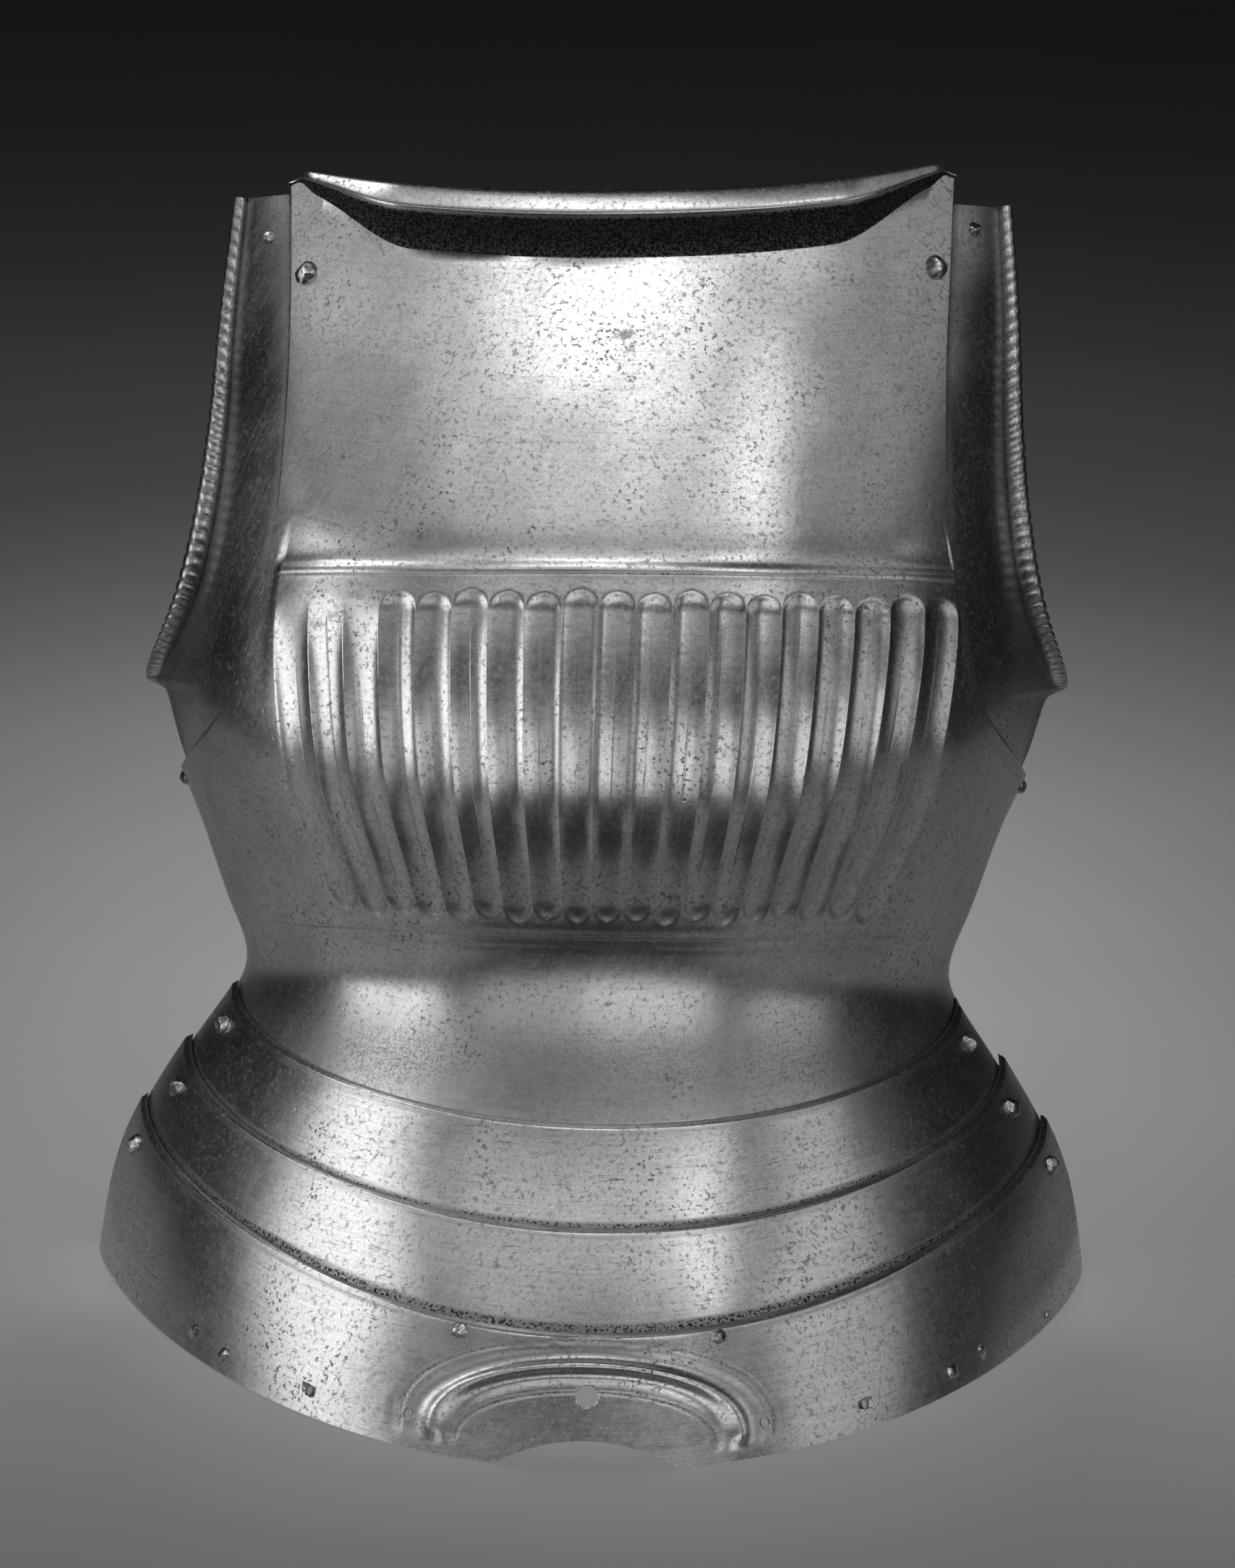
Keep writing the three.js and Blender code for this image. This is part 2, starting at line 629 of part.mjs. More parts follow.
// A lame between its upper edge and its lower one. lower(turn, distance) gives the lower edge's height.
function lame(layerName, lower, shares) {
  const layer = LAYERS[layerName];
  const turns = lameTurns();
  const grid = (distance) => shares.map((share) => turns.map((turn) => {
    const top = edgeHeight(EDGES[layerName], turn, distance);
    return offTorso(turn, mix(lower(turn, distance), top, share), distance);
  }));
  return sheet(grid(layer.outer), grid(layer.outer - layer.thickness));
}

function tuckedUnder(next) {
  return (turn, distance) => edgeHeight(EDGES[next], turn, distance, LAME_LAP);
}

function archHeight(x) {
  const across = Math.min(1, Math.abs(x) / ARCH_HALF_WIDTH);
  return ARCH_HEIGHT * (1 - across * across);
}

function footHeight(turn, distance) {
  const edge = edgeHeight(EDGES.foot, turn, distance);
  return edge + archHeight(torsoPoint(turn, edge).x);
}

// A round bead laid on the last lame. route(share) gives a turn and a height for share 0 to 1; distance is
// how far its axis stands off the torso, and below how deep it goes on the inner side of its axis.
function bead(route, radius, below, distance, steps, sides) {
  const places = [];
  for (let i = 0; i <= steps; i++) {
    const { turn, z } = route(i / steps);
    places.push({ point: offTorso(turn, z, distance), normal: torsoNormal(turn, z) });
  }
  const loops = places.map(({ point, normal }, i) => {
    const before = places[Math.max(0, i - 1)].point;
    const after = places[Math.min(steps, i + 1)].point;
    const along = after.clone().sub(before).normalize();
    const side = normal.clone().cross(along).normalize();
    const up = along.clone().cross(side);
    return Array.from({ length: sides }, (_, k) => {
      const angle = (2 * Math.PI * k) / sides;
      return point.clone()
        .addScaledVector(side, radius * Math.cos(angle))
        .addScaledVector(up, (angle > Math.PI ? below : radius) * Math.sin(angle));
    });
  });
  return bar(loops);
}

function archRoll() {
  const layer = LAYERS.lame_3;
  const middle = layer.outer - layer.thickness / 2;
  return bead((share) => {
    const x = ARCH_HALF_WIDTH * (2 * share - 1);
    const turn = turnAt(x, EDGES.foot.front);
    const clear = mix(0.9, 1.3, Math.abs(2 * share - 1)); // the ends slope, so they stand higher
    return { turn, z: footHeight(turn, middle) + ARCH_ROLL_RADIUS * clear };
  }, ARCH_ROLL_RADIUS, ARCH_ROLL_RADIUS, middle, 12, 6);
}

function archRidge() {
  const { halfWidth, foot, top, radius } = ARCH_RIDGE;
  const distance = LAYERS.lame_3.outer - LAME_THICKNESS / 4;
  return bead((share) => {
    const angle = Math.PI * (1 - share);
    const x = halfWidth * Math.cos(angle);
    const turn = turnAt(x, EDGES.foot.front);
    const above = mix(foot, top, Math.sin(angle));
    return { turn, z: edgeHeight(EDGES.foot, turn, distance) + above };
  }, radius, LAME_THICKNESS / 2, distance, 16, 6);
}

function lastLame() {
  const holes = HOLES.map(({ x, z, radius }) => ({ turn: turnAt(x, z), z, radius }));
  const plain = lame('lame_3', footHeight, LAME_FOOT_ROWS);
  return drilled(joined(plain, archRoll(), archRidge()), [...holes, ...rivetHoles('lame_3')]);
}

// ---- Assembly --------------------------------------------------------------------------------------

function piece(name, geometry, colour) {
  const flat = geometry.toNonIndexed();
  flat.computeVertexNormals();
  const mesh = new THREE.Mesh(flat, new THREE.MeshStandardMaterial({ color: colour, ...STEEL }));
  mesh.name = name;
  return mesh;
}

const torso = new THREE.Group();
torso.add(piece('breast_plate', breastPlate(), COLOURS.plate));

const rightGusset = gusset();
torso.add(piece('gusset_right', rightGusset, COLOURS.gusset));
torso.add(piece('gusset_left', mirrored(rightGusset), COLOURS.gusset));

const firstLame = lame('lame_1', tuckedUnder('lame_2'), LAME_ROWS);
const secondLame = lame('lame_2', tuckedUnder('lame_3'), LAME_ROWS);
torso.add(piece('skirt_lame_1', drilled(firstLame, rivetHoles('lame_1')), COLOURS.lame));
torso.add(piece('skirt_lame_2', drilled(secondLame, rivetHoles('lame_2')), COLOURS.lame));
torso.add(piece('skirt_lame_3', lastLame(), COLOURS.lame));

for (const rivet of RIVETS) {
  for (const [sideName, side] of [['left', -1], ['right', 1]]) {
    torso.add(piece(`${rivet.name}_${sideName}`, rivetGeometry(rivet, side), COLOURS.rivet));
  }
}

// Lean the torso back onto the skirt's level edge, with the origin under the middle of its box.
torso.rotation.x = -LEAN;
const breastplate = new THREE.Group();
breastplate.add(torso);
breastplate.updateMatrixWorld(true);
const box = new THREE.Box3().setFromObject(breastplate, true);
const middle = box.getCenter(new THREE.Vector3());
torso.position.set(-middle.x, -middle.y, -box.min.z);

export default breastplate;
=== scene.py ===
import math

import bpy
import numpy as np
from mathutils import Matrix, Vector


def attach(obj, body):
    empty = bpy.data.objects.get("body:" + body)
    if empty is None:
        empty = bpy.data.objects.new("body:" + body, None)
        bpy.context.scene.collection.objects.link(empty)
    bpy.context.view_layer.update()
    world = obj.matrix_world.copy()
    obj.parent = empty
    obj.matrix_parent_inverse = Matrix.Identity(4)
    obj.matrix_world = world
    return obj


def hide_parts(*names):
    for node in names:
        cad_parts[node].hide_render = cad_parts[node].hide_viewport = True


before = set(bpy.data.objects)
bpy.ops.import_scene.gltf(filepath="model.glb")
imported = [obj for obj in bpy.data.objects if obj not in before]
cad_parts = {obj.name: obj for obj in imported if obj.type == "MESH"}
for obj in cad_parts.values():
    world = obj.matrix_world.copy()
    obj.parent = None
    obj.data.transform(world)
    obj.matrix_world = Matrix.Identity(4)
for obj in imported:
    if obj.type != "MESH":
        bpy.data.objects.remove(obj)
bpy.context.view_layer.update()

# A fluted steel breastplate. Shapes are worked out in millimetres on the upright torso, z = 0 at the waist,
# then leaned back onto the skirt's level edge.

# ---- Sizes -----------------------------------------------------------------------------------------

MM = 0.001
LEAN = math.atan(0.28)
STANDS_AT = np.array([0.0, 105.937, 106.392])

# The torso's cross-sections. half: half the width; front and back: y of the middle of the front and of the
# sides' rear; bow: how full the front is between the middle and the sides, 1 for an ellipse.
TORSO = {
    "z": [-175, -110, -70, -40, -15, 3, 25, 45, 65, 85, 105, 150, 220, 283, 325],
    "half": [203, 193, 185, 169, 152, 142.5, 148, 155, 162, 170.7, 177.2, 178, 177, 176, 173],
    "front": [
        -202, -180, -163, -152.5, -147.5, -147.5, -153, -166,
        -178.5, -183, -182.5, -173.5, -150, -122.5, -106,
    ],
    "back": [0, 0, 0, -2, -5, -8, -10, -11.2, -12.3, -13.4, -14, -14, -14, -14, -14],
    "bow": [1.4, 1.4, 1.4, 1.35, 1.3, 1.25, 1.2, 1.17, 1.14, 1.12, 1.09, 1.05, 1.05, 1.05, 1.05],
}
SIDE_RADIUS = 100
# Half the width of the main plate above the flank, where it laps over the gusset.
SEAM = {
    "z": [80, 86, 93, 101, 111, 123, 140, 160, 185, 220, 270, 325],
    "x": [175, 168.5, 160, 152, 145.5, 141.3, 137, 132.3, 128.6, 127, 127.8, 130],
}
SEAM_FOOT = 84
PLATE_SIDE_TURN = 88
PLATE_FOOT = -60.0
ROWS_LEAN_BELOW = 15  # from here down the rows come to lie along the lower edge
# Half the width of the fluting.
FLUTE_BAND = {
    "z": [-60, -15, 20, 32, 50, 70, 95, 121, 147, 200, 325],
    "x": [114, 102, 101, 104.5, 111, 119.5, 125.5, 128.6, 129.5, 118, 108],
}
FLUTES_ASIDE = 3  # the fluting sits this far to the right of the middle
PLATE_THICKNESS = 2.0
GUSSET_OUTER = -3.0
GUSSET_THICKNESS = 1.8
LAME_OUTER = {1: 2.4, 2: 4.8, 3: 7.2}
LAME_THICKNESS = 1.6
LAME_SIDE_TURN = 83
LAME_REACH, LAST_LAME_REACH = 140, 150
# The skirt's edges: the height of the middle, and how much an edge climbs toward the back.
EDGES = {1: (-46.6, 0.31), 2: (-82.4, 0.36), 3: (-117.8, 0.39), "foot": (-165.8, 0.28)}
LAME_LAP = 16

FLUTES = 19
FLUTE_DEPTH = 2.6
RIDGE_HEIGHT = 0.4
FLUTE_TOP = 151.5
FLUTE_BOTTOM = 28.7
FLUTE_HALF = 7.0  # half a channel's width, which its rounded ends have for their radius
UPPER_LINE = 158.2
LOWER_LINE = 22.5
BAND_FOOT, BAND_TOP = 20, 161  # between these the steel round the fluting stands proud
FULL_ROWS_END = 171
# A darker band round the waist.
WAIST_DARK_BAND = {"z": -26, "height": 30, "amount": 0.42}

NECK_TOP = 305.5
NECK_LEVEL = 300.0  # the height at which the columns' places across the neck are measured
NECK_ROOM = 26
# The turned edge from its foot up, over the crest and down inside.
# out: ahead of the torso; down: below the crest.
NECK_PROFILE = {
    "out": [
        0, 0.15, 0.8, 2.4, 4.8, 7.5, 10, 12, 13.2, 13.9, 14.3, 14.3,
        14.1, 13.8, 13.5, 13.1, 12.3, 10, 6, 2, 0, -1.2, -2,
    ],
    "down": [
        26, 25.4, 24, 21.4, 18.8, 16.2, 13.9, 11.9, 10.6, 9.9, 9.1, 7.6,
        5.5, 3.5, 2, 0.9, 0.25, 0, 0, 0.1, 0.3, 0.6, 1.2,
    ],
}
COVE_SHADE = 1.5  # painted shade under the turned edge, whose underside faces down

# The gussets, step by step from the top of the armhole down to the foot.
# in and out: heights of the strip's inner edge and of the roll; turn: the roll's place round the torso, in
# degrees; tuck: how deep the strip goes under the plate; lift: how far it stands up at the roll;
# roll: the roll's radius.
GUSSET = {
    "z": [0, 1, 2, 3, 4, 5, 6, 7, 8, 9, 10, 11, 12, 13, 14, 15, 16],
    "in": [306, 284, 258, 230, 202, 178, 160, 146, 135, 126, 119, 115, 111, 104, 95, 84, 74],
    "out": [306, 284, 258, 230, 202, 176, 156, 141, 130.5, 124, 121, 119.5, 114.5, 107, 97, 86, 75],
    "turn": [60.4, 60.6, 61, 61.3, 62.4, 64.6, 67.5, 71.5, 77, 83, 88.5, 92.5, 92, 90.5, 89.5, 88.5, 88],
    "tuck": [0, 0, 0, 0, 0, 1.5, 2.8, 3.2, 3.2, 3.2, 3.2, 3.2, 3.2, 3.2, 3, 2.2, 1.6],
    "lift": [0, 0, 0, 0, 0.1, 0.3, 0.6, 0.9, 1.4, 2.2, 3.4, 5, 2, 0.6, 0, 0, 0],
    "roll": [2.8, 3.1, 3.5, 3.9, 4.3, 4.6, 4.7, 4.7, 4.6, 4.4, 4, 3.4, 1, 0.9, 0.9, 0.9, 0.9],
}
GUSSET_TOPS = {-1: 5.5, 1: -1.5}  # how far the left and right gussets stand above their table
GUSSET_LAP = 6
ROPE_PITCH = 5.2
ROPE_DEPTH = 0.17  # how deep the roping's grooves go, as a share of the roll's radius

ARCH_HALF_WIDTH = 32.2
ARCH_HEIGHT = 10
# The ridge round the arch and the lines engraved inside and outside it.
# half: half the width; foot and top: heights above the skirt's edge.
ARCH_RIDGE = {"half": 54, "foot": 9, "top": 36}
ARCH_INNER_LINE = {"half": 46, "foot": 6, "top": 27}
ARCH_OUTER_LINE = {"half": 66, "foot": 10, "top": 45}
ARCH_ROLL_RADIUS = 2.4
ARCH_ROLL_CUTS = (-17, -14.6, -1.2, 1.2, 14.6, 17)

RIVET_KINDS = {
    "shoulder": {"head": 4.9, "rise": 4.4, "shank": 1.9, "clench": 4.0},
    "gusset": {"head": 3.3, "rise": 2.4, "shank": 1.5, "clench": 2.9},
    "pivot": {"head": 4.4, "rise": 3.7, "shank": 2.0, "clench": 3.8},
    "strap": {"head": 3.7, "rise": 1.0, "shank": 1.6, "clench": 3.4},
    "leather": {"head": 3.4, "rise": 1.5, "shank": 1.5, "clench": 0},
}
TIP = 0.02  # the radius at which a rivet's two ends close
FOOT_RIVET_EXTRA = 0.8  # the gusset lies deeper under the plate at its foot, so this rivet is longer
# name, kind, half the distance across (or the turn, in degrees), z, outer sheet, inner sheet, body
RIVETS = [
    ("rivet_shoulder", "shoulder", {"x": 121.5}, 278, "plate", "gusset", "main_plate"),
    ("rivet_gusset_top", "gusset", {"x": 140}, 295, "gusset", "gusset", "main_plate"),
    ("rivet_gusset_foot", "gusset", {"turn": 85}, 79.5, "plate", "gusset", "main_plate"),
    ("rivet_lame_1", "pivot", {"turn": 69}, -22, 1, "plate", "first_lame"),
    ("rivet_lame_2", "pivot", {"turn": 69}, -48, 2, 1, "second_lame"),
    ("rivet_lame_3", "pivot", {"turn": 72}, -72, 3, 2, "last_lame"),
    ("rivet_strap_outer", "strap", {"x": 145}, -135, 3, 3, "last_lame"),
    ("rivet_strap_inner", "strap", {"x": 133}, -141.5, 3, 3, "last_lame"),
    ("rivet_leather", "leather", {"x": 45.5}, -124, 3, 3, "last_lame"),
]
# x, z and radius of the open holes in the last skirt plate
HOLES = [
    (0, -144.6, 4.2), (63, -154, 1.9), (-63, -154, 1.9), (99.5, -149.5, 1.9), (-99.5, -149.5, 1.9),
    (-182, -123, 1.6), (173, -126, 1.6), (190, -108, 1.6),
]
HOLE_RAGGEDNESS = 0.04
# x, z and reach of the stains on the last skirt plate
STAINS = [(-45.5, -126, 17), (45.5, -126, 17), (-58, -158, 8), (-38, -158, 8), (38, -158, 7)]

# ---- Curves ----------------------------------------------------------------------------------------


def spline(table, column):
    """A natural cubic spline of one column of a table against its z."""
    z, value = np.array(table["z"], float), np.array(table[column], float)
    last = len(z) - 1
    bend, carry = np.zeros(last + 1), np.zeros(last + 1)
    for i in range(1, last):
        before, after = z[i] - z[i - 1], z[i + 1] - z[i]
        turn = (value[i + 1] - value[i]) / after - (value[i] - value[i - 1]) / before
        pivot = 2 * (before + after) - before * carry[i - 1]
        carry[i] = after / pivot
        bend[i] = (6 * turn - before * bend[i - 1]) / pivot
    for i in range(last - 1, 0, -1):
        bend[i] -= carry[i] * bend[i + 1]

    def at(height):
        height = np.asarray(height, float)
        i = np.clip(np.searchsorted(z, height) - 1, 0, last - 1)
        step = z[i + 1] - z[i]
        a = (z[i + 1] - height) / step
        b = 1 - a
        cubic = (a**3 - a) * bend[i] + (b**3 - b) * bend[i + 1]
        return a * value[i] + b * value[i + 1] + cubic * step * step / 6

    return at


def eased(table, column):
    """A curve through one column of a table that never overshoots its values."""
    z, value = np.array(table["z"], float), np.array(table[column], float)
    rise = np.diff(value) / np.diff(z)
    slope = np.zeros(len(z))
    both = rise[:-1] * rise[1:] > 0
    total = np.where(both, rise[:-1] + rise[1:], 1)
    slope[1:-1] = np.where(both, 2 * rise[:-1] * rise[1:] / total, 0)
    slope[0], slope[-1] = rise[0], rise[-1]

    def at(place):
        place = np.asarray(place, float)
        i = np.clip(np.searchsorted(z, place) - 1, 0, len(z) - 2)
        step = z[i + 1] - z[i]
        t = np.clip((place - z[i]) / step, 0, 1)
        keep = value[i] * (1 + 2 * t) * (1 - t) ** 2 + value[i + 1] * t * t * (3 - 2 * t)
        return keep + step * (slope[i] * t * (1 - t) ** 2 + slope[i + 1] * t * t * (t - 1))

    return at


torso_half, torso_front, torso_back, torso_bow = (spline(TORSO, c) for c in ("half", "front", "back", "bow"))
seam_half = spline(SEAM, "x")
flute_half = spline(FLUTE_BAND, "x")


def smooth(value, low, high):
    share = np.clip((np.asarray(value, float) - low) / (high - low), 0, 1)
    return share * share * (3 - 2 * share)


def hump(value, middle, width):
    """A rounded bump of height 1 that is width wide at half its height."""
    return np.exp(-2.77 * ((np.asarray(value, float) - middle) / width) ** 2)


def torso_point(turn, z):
    turn, z = np.broadcast_arrays(np.asarray(turn, float), np.asarray(z, float))
    swing = np.minimum(np.abs(turn), math.pi / 2)
    past = (np.abs(turn) - swing) * SIDE_RADIUS
    x = np.where(turn < 0, -1, 1) * torso_half(z) * np.sin(swing)
    depth = torso_back(z) - torso_front(z)
    y = torso_back(z) - depth * np.maximum(np.cos(swing), 0) ** torso_bow(z) + past
    return np.stack([x, y, z], axis=-1)


def unit(vectors):
    return vectors / np.linalg.norm(vectors, axis=-1, keepdims=True)


def torso_normal(turn, z):
    step = 0.02
    held = np.clip(turn, step - math.pi / 2, math.pi / 2 - step)
    across = torso_point(held + step, z) - torso_point(held - step, z)
    up = torso_point(held, z + 1) - torso_point(held, z - 1)
    return unit(np.cross(across, up))


def off_torso(turn, z, distance):
    return torso_point(turn, z) + torso_normal(turn, z) * np.asarray(distance, float)[..., None]


def turn_at(x, z):
    return np.arcsin(np.clip(x / torso_half(z), -1, 1))


def edge_height(edge, turn, distance, drop=0.0):
    """Where a surface standing off the torso crosses one of the skirt's sloping edges."""
    front, slope = edge
    middle_y = off_torso(np.array(0.0), np.array(float(front)), 0)[1]
    turn = np.asarray(turn, float)
    z = np.full(turn.shape, front - drop)
    for _ in range(6):
        point = off_torso(turn, z, distance)
        z = z + front - drop + slope * (point[..., 1] - middle_y) - point[..., 2]
    return z


def unevenness(points, seed, size, wave):
    """The slight hammered unevenness of hand-made sheet, in millimetres."""
    draw = np.random.default_rng(seed)
    total = np.zeros(points.shape[:-1])
    for _ in range(14):
        direction = unit(draw.normal(size=3))
        length = wave * draw.uniform(0.6, 1.7)
        phase = draw.uniform(0, 2 * math.pi)
        total += np.sin(points @ direction * (2 * math.pi / length) + phase) * length / wave
    return total * size / 5


def standing(points):
    """From the upright torso in millimetres to where the piece stands, in metres."""
    c, s = math.cos(LEAN), math.sin(LEAN)
    x, y, z = points[..., 0], points[..., 1], points[..., 2]
    above = smooth(z, 0, 70)
    high = smooth(z, 180, 310)
    z = z + x * (0.014 * above + 0.022 * high)
    x = x + 2.4 * smooth(z, 0, 300)
    leaned = np.stack([x, y * c + z * s, z * c - y * s], axis=-1)
    return (leaned + STANDS_AT) * MM


# ---- Meshes ----------------------------------------------------------------------------------------

OUTSIDE, INSIDE = 0, 1
INNER_GRIME = 0.6


def add_object(name, data):
    made = bpy.data.objects.new(name, data)
    bpy.context.scene.collection.objects.link(made)
    return made


class Shell:
    """Points and faces of one piece, gathered from several closed bodies."""

    def __init__(self):
        self.points, self.faces, self.finish, self.dirt_and_shade = [], [], [], []
        self.count = 0

    def add_points(self, grid, dirt_and_shade=0.0):
        flat = grid.reshape(-1, 3)
        start = self.count
        self.points.append(flat)
        self.dirt_and_shade.append(np.broadcast_to(dirt_and_shade, grid.shape[:-1]).reshape(-1))
        self.count += len(flat)
        return start + np.arange(len(flat)).reshape(grid.shape[:-1])

    def add_faces(self, faces, finish=OUTSIDE):
        self.faces.extend(faces)
        self.finish.extend([finish] * len(faces))

    def skin(self, ids, finish=OUTSIDE, flip=False):
        a, b, c, d = ids[:-1, :-1], ids[:-1, 1:], ids[1:, 1:], ids[1:, :-1]
        order = (a, d, c, b) if flip else (a, b, c, d)
        self.add_faces(np.stack([o.ravel() for o in order], axis=-1).tolist(), finish)

    def zip_edges(self, first, second, finish=OUTSIDE):
        """Joins two edges of different counts with triangles."""
        i = j = 0
        faces = []
        while i < len(first) - 1 or j < len(second) - 1:
            on_first = (i + 1) / (len(first) - 1) if i < len(first) - 1 else 9
            on_second = (j + 1) / (len(second) - 1) if j < len(second) - 1 else 9
            if on_first <= on_second:
                faces.append([int(first[i]), int(first[i + 1]), int(second[j])])
                i += 1
            else:
                faces.append([int(first[i]), int(second[j + 1]), int(second[j])])
                j += 1
        self.add_faces(faces, finish)

    def sheet(self, outer, inner, dirt_and_shade=0.0):
        """A closed sheet between two grids, rows running up and columns to the right, seen from outside."""
        front = self.add_points(outer, dirt_and_shade)
        back = self.add_points(inner, INNER_GRIME)
        self.skin(front)
        self.skin(back, INSIDE, flip=True)
        self.zip_edges(back[0], front[0])
        self.zip_edges(front[-1], back[-1])
        self.zip_edges(front[:, 0], back[:, 0])
        self.zip_edges(back[:, -1], front[:, -1])

    def tube(self, loops, dirt_and_shade=0.0):
        """A closed bar through loops of points."""
        ids = self.add_points(loops, dirt_and_shade)
        self.skin(np.concatenate([ids, ids[:, :1]], axis=1))
        self.add_faces([ids[0, ::-1].tolist(), ids[-1].tolist()])

    def build(self, name, flat_above=50):
        points = standing(np.concatenate(self.points))
        mesh = bpy.data.meshes.new(name)
        mesh.from_pydata(points.tolist(), [], self.faces)
        mesh.polygons.foreach_set("use_smooth", [True] * len(self.faces))
        mesh.polygons.foreach_set("material_index", self.finish)
        layer = mesh.attributes.new("dirt_and_shade", "FLOAT", "POINT")
        layer.data.foreach_set("value", np.concatenate(self.dirt_and_shade).astype(np.float32))
        mesh.update()
        mesh.set_sharp_from_angle(angle=math.radians(flat_above))
        return add_object(name, mesh)


def cut_holes(piece):
    """Cuts the open holes through the last skirt plate, each straight through the torso's surface."""
    for number, (x, z, radius) in enumerate(HOLES):
        draw = np.random.default_rng(40 + number)
        angles = np.linspace(0, 2 * math.pi, 25)[:-1]
        ring = radius * (1 + HOLE_RAGGEDNESS * draw.uniform(-1, 1, len(angles)))
        flat = np.stack([ring * np.cos(angles), ring * np.sin(angles), np.zeros(len(angles))], axis=-1)
        loops = seated(np.stack([flat + [0, 0, -12], flat + [0, 0, 20]]), turn_at(x, z), z)
        pin = Shell()
        pin.tube(loops)
        cutter = pin.build("cutter")
        modifier = piece.modifiers.new("hole", "BOOLEAN")
        modifier.object = cutter
        modifier.operation = "DIFFERENCE"
        modifier.solver = "EXACT"
        with bpy.context.temp_override(object=piece, active_object=piece):
            bpy.ops.object.modifier_apply(modifier=modifier.name)
        bpy.data.objects.remove(cutter)


def seated(points, turn, z):
    """Stands points made round +Z on the torso's surface, with +Z along the surface's normal."""
    turn, z = np.array(float(turn)), np.array(float(z))
    normal = torso_normal(turn, z)
    spin = Vector((0, 0, 1)).rotation_difference(Vector(normal)).to_matrix()
    return points @ np.array(spin).T + torso_point(turn, z)


# ---- Steel and its finishes ------------------------------------------------------------------------


class Value:
    """One number in a material's nodes. Arithmetic on it adds Math nodes."""

    def __init__(self, paint, socket):
        self.paint, self.socket = paint, socket

    def math(self, operation, first, second):
        return self.paint.node("ShaderNodeMath", {"operation": operation}, {0: first, 1: second})

    def __add__(self, other):
        return self.math("ADD", self, other)

    def __sub__(self, other):
        return self.math("SUBTRACT", self, other)

    def __rsub__(self, other):
        return self.math("SUBTRACT", other, self)

    def __mul__(self, other):
        return self.math("MULTIPLY", self, other)

    def larger(self, other):
        return self.math("MAXIMUM", self, other)

    __radd__ = __add__
    __rmul__ = __mul__

    def step(self, low, high):
        """0 below low, 1 above high, and a smooth rise between."""
        ends = {"Value": self, "From Min": low, "From Max": high}
        return self.paint.node("ShaderNodeMapRange", {"interpolation_type": "SMOOTHSTEP"}, ends)


class Paint:
    """A material and its nodes."""

    def __init__(self, name):
        self.material = bpy.data.materials.new(name)
        self.material.use_nodes = True
        self.tree = self.material.node_tree
        self.tree.nodes.clear()
        self.place = self.node("ShaderNodeTexCoord", output="Object")

    def node(self, kind, settings=None, inputs=None, output=0):
        made = self.tree.nodes.new(kind)
        for key, value in (settings or {}).items():
            setattr(made, key, value)
        for key, value in (inputs or {}).items():
            if isinstance(value, Value):
                self.tree.links.new(value.socket, made.inputs[key])
            else:
                made.inputs[key].default_value = value
        return Value(self, made.outputs[output]) if made.outputs else None

    def moved(self, scale, rotation=(0, 0, 0)):
        """The place on the object, stretched by scale and turned by rotation in degrees."""
        turned = tuple(math.radians(r) for r in rotation)
        spun = self.node("ShaderNodeMapping", {}, {"Vector": self.place, "Rotation": turned})
        return self.node("ShaderNodeMapping", {}, {"Vector": spun, "Scale": scale})

    def noise(self, scale, detail=4.0, roughness=0.5, place=None):
        ends = {"Vector": place or self.place, "Scale": scale, "Detail": detail, "Roughness": roughness}
        return self.node("ShaderNodeTexNoise", {}, ends)

    def spots(self, scale, size, place=None):
        """Round spots, one in each cell, 1 in the middle of a spot and 0 outside it."""
        ends = {"Vector": place or self.place, "Scale": scale}
        return 1 - self.node("ShaderNodeTexVoronoi", {}, ends).step(size * 0.4, size)

    def blend(self, factor, first, second):
        ends = {0: factor, 6: first, 7: second}
        return self.node("ShaderNodeMix", {"data_type": "RGBA"}, ends, output=2)

    def finish(self, inputs, height=None):
        if height is not None:
            bump = {"Height": height, "Strength": 1.0, "Distance": MM}
            inputs["Normal"] = self.node("ShaderNodeBump", {}, bump)
        shader = self.node("ShaderNodeBsdfPrincipled", {}, inputs)
        self.node("ShaderNodeOutputMaterial", {}, {"Surface": shader})
        return self.material


def grey(value, warmth=0.0):
    return (value * (1 + warmth), value, value * (1 - warmth * 1.4) + 0.004, 1.0)


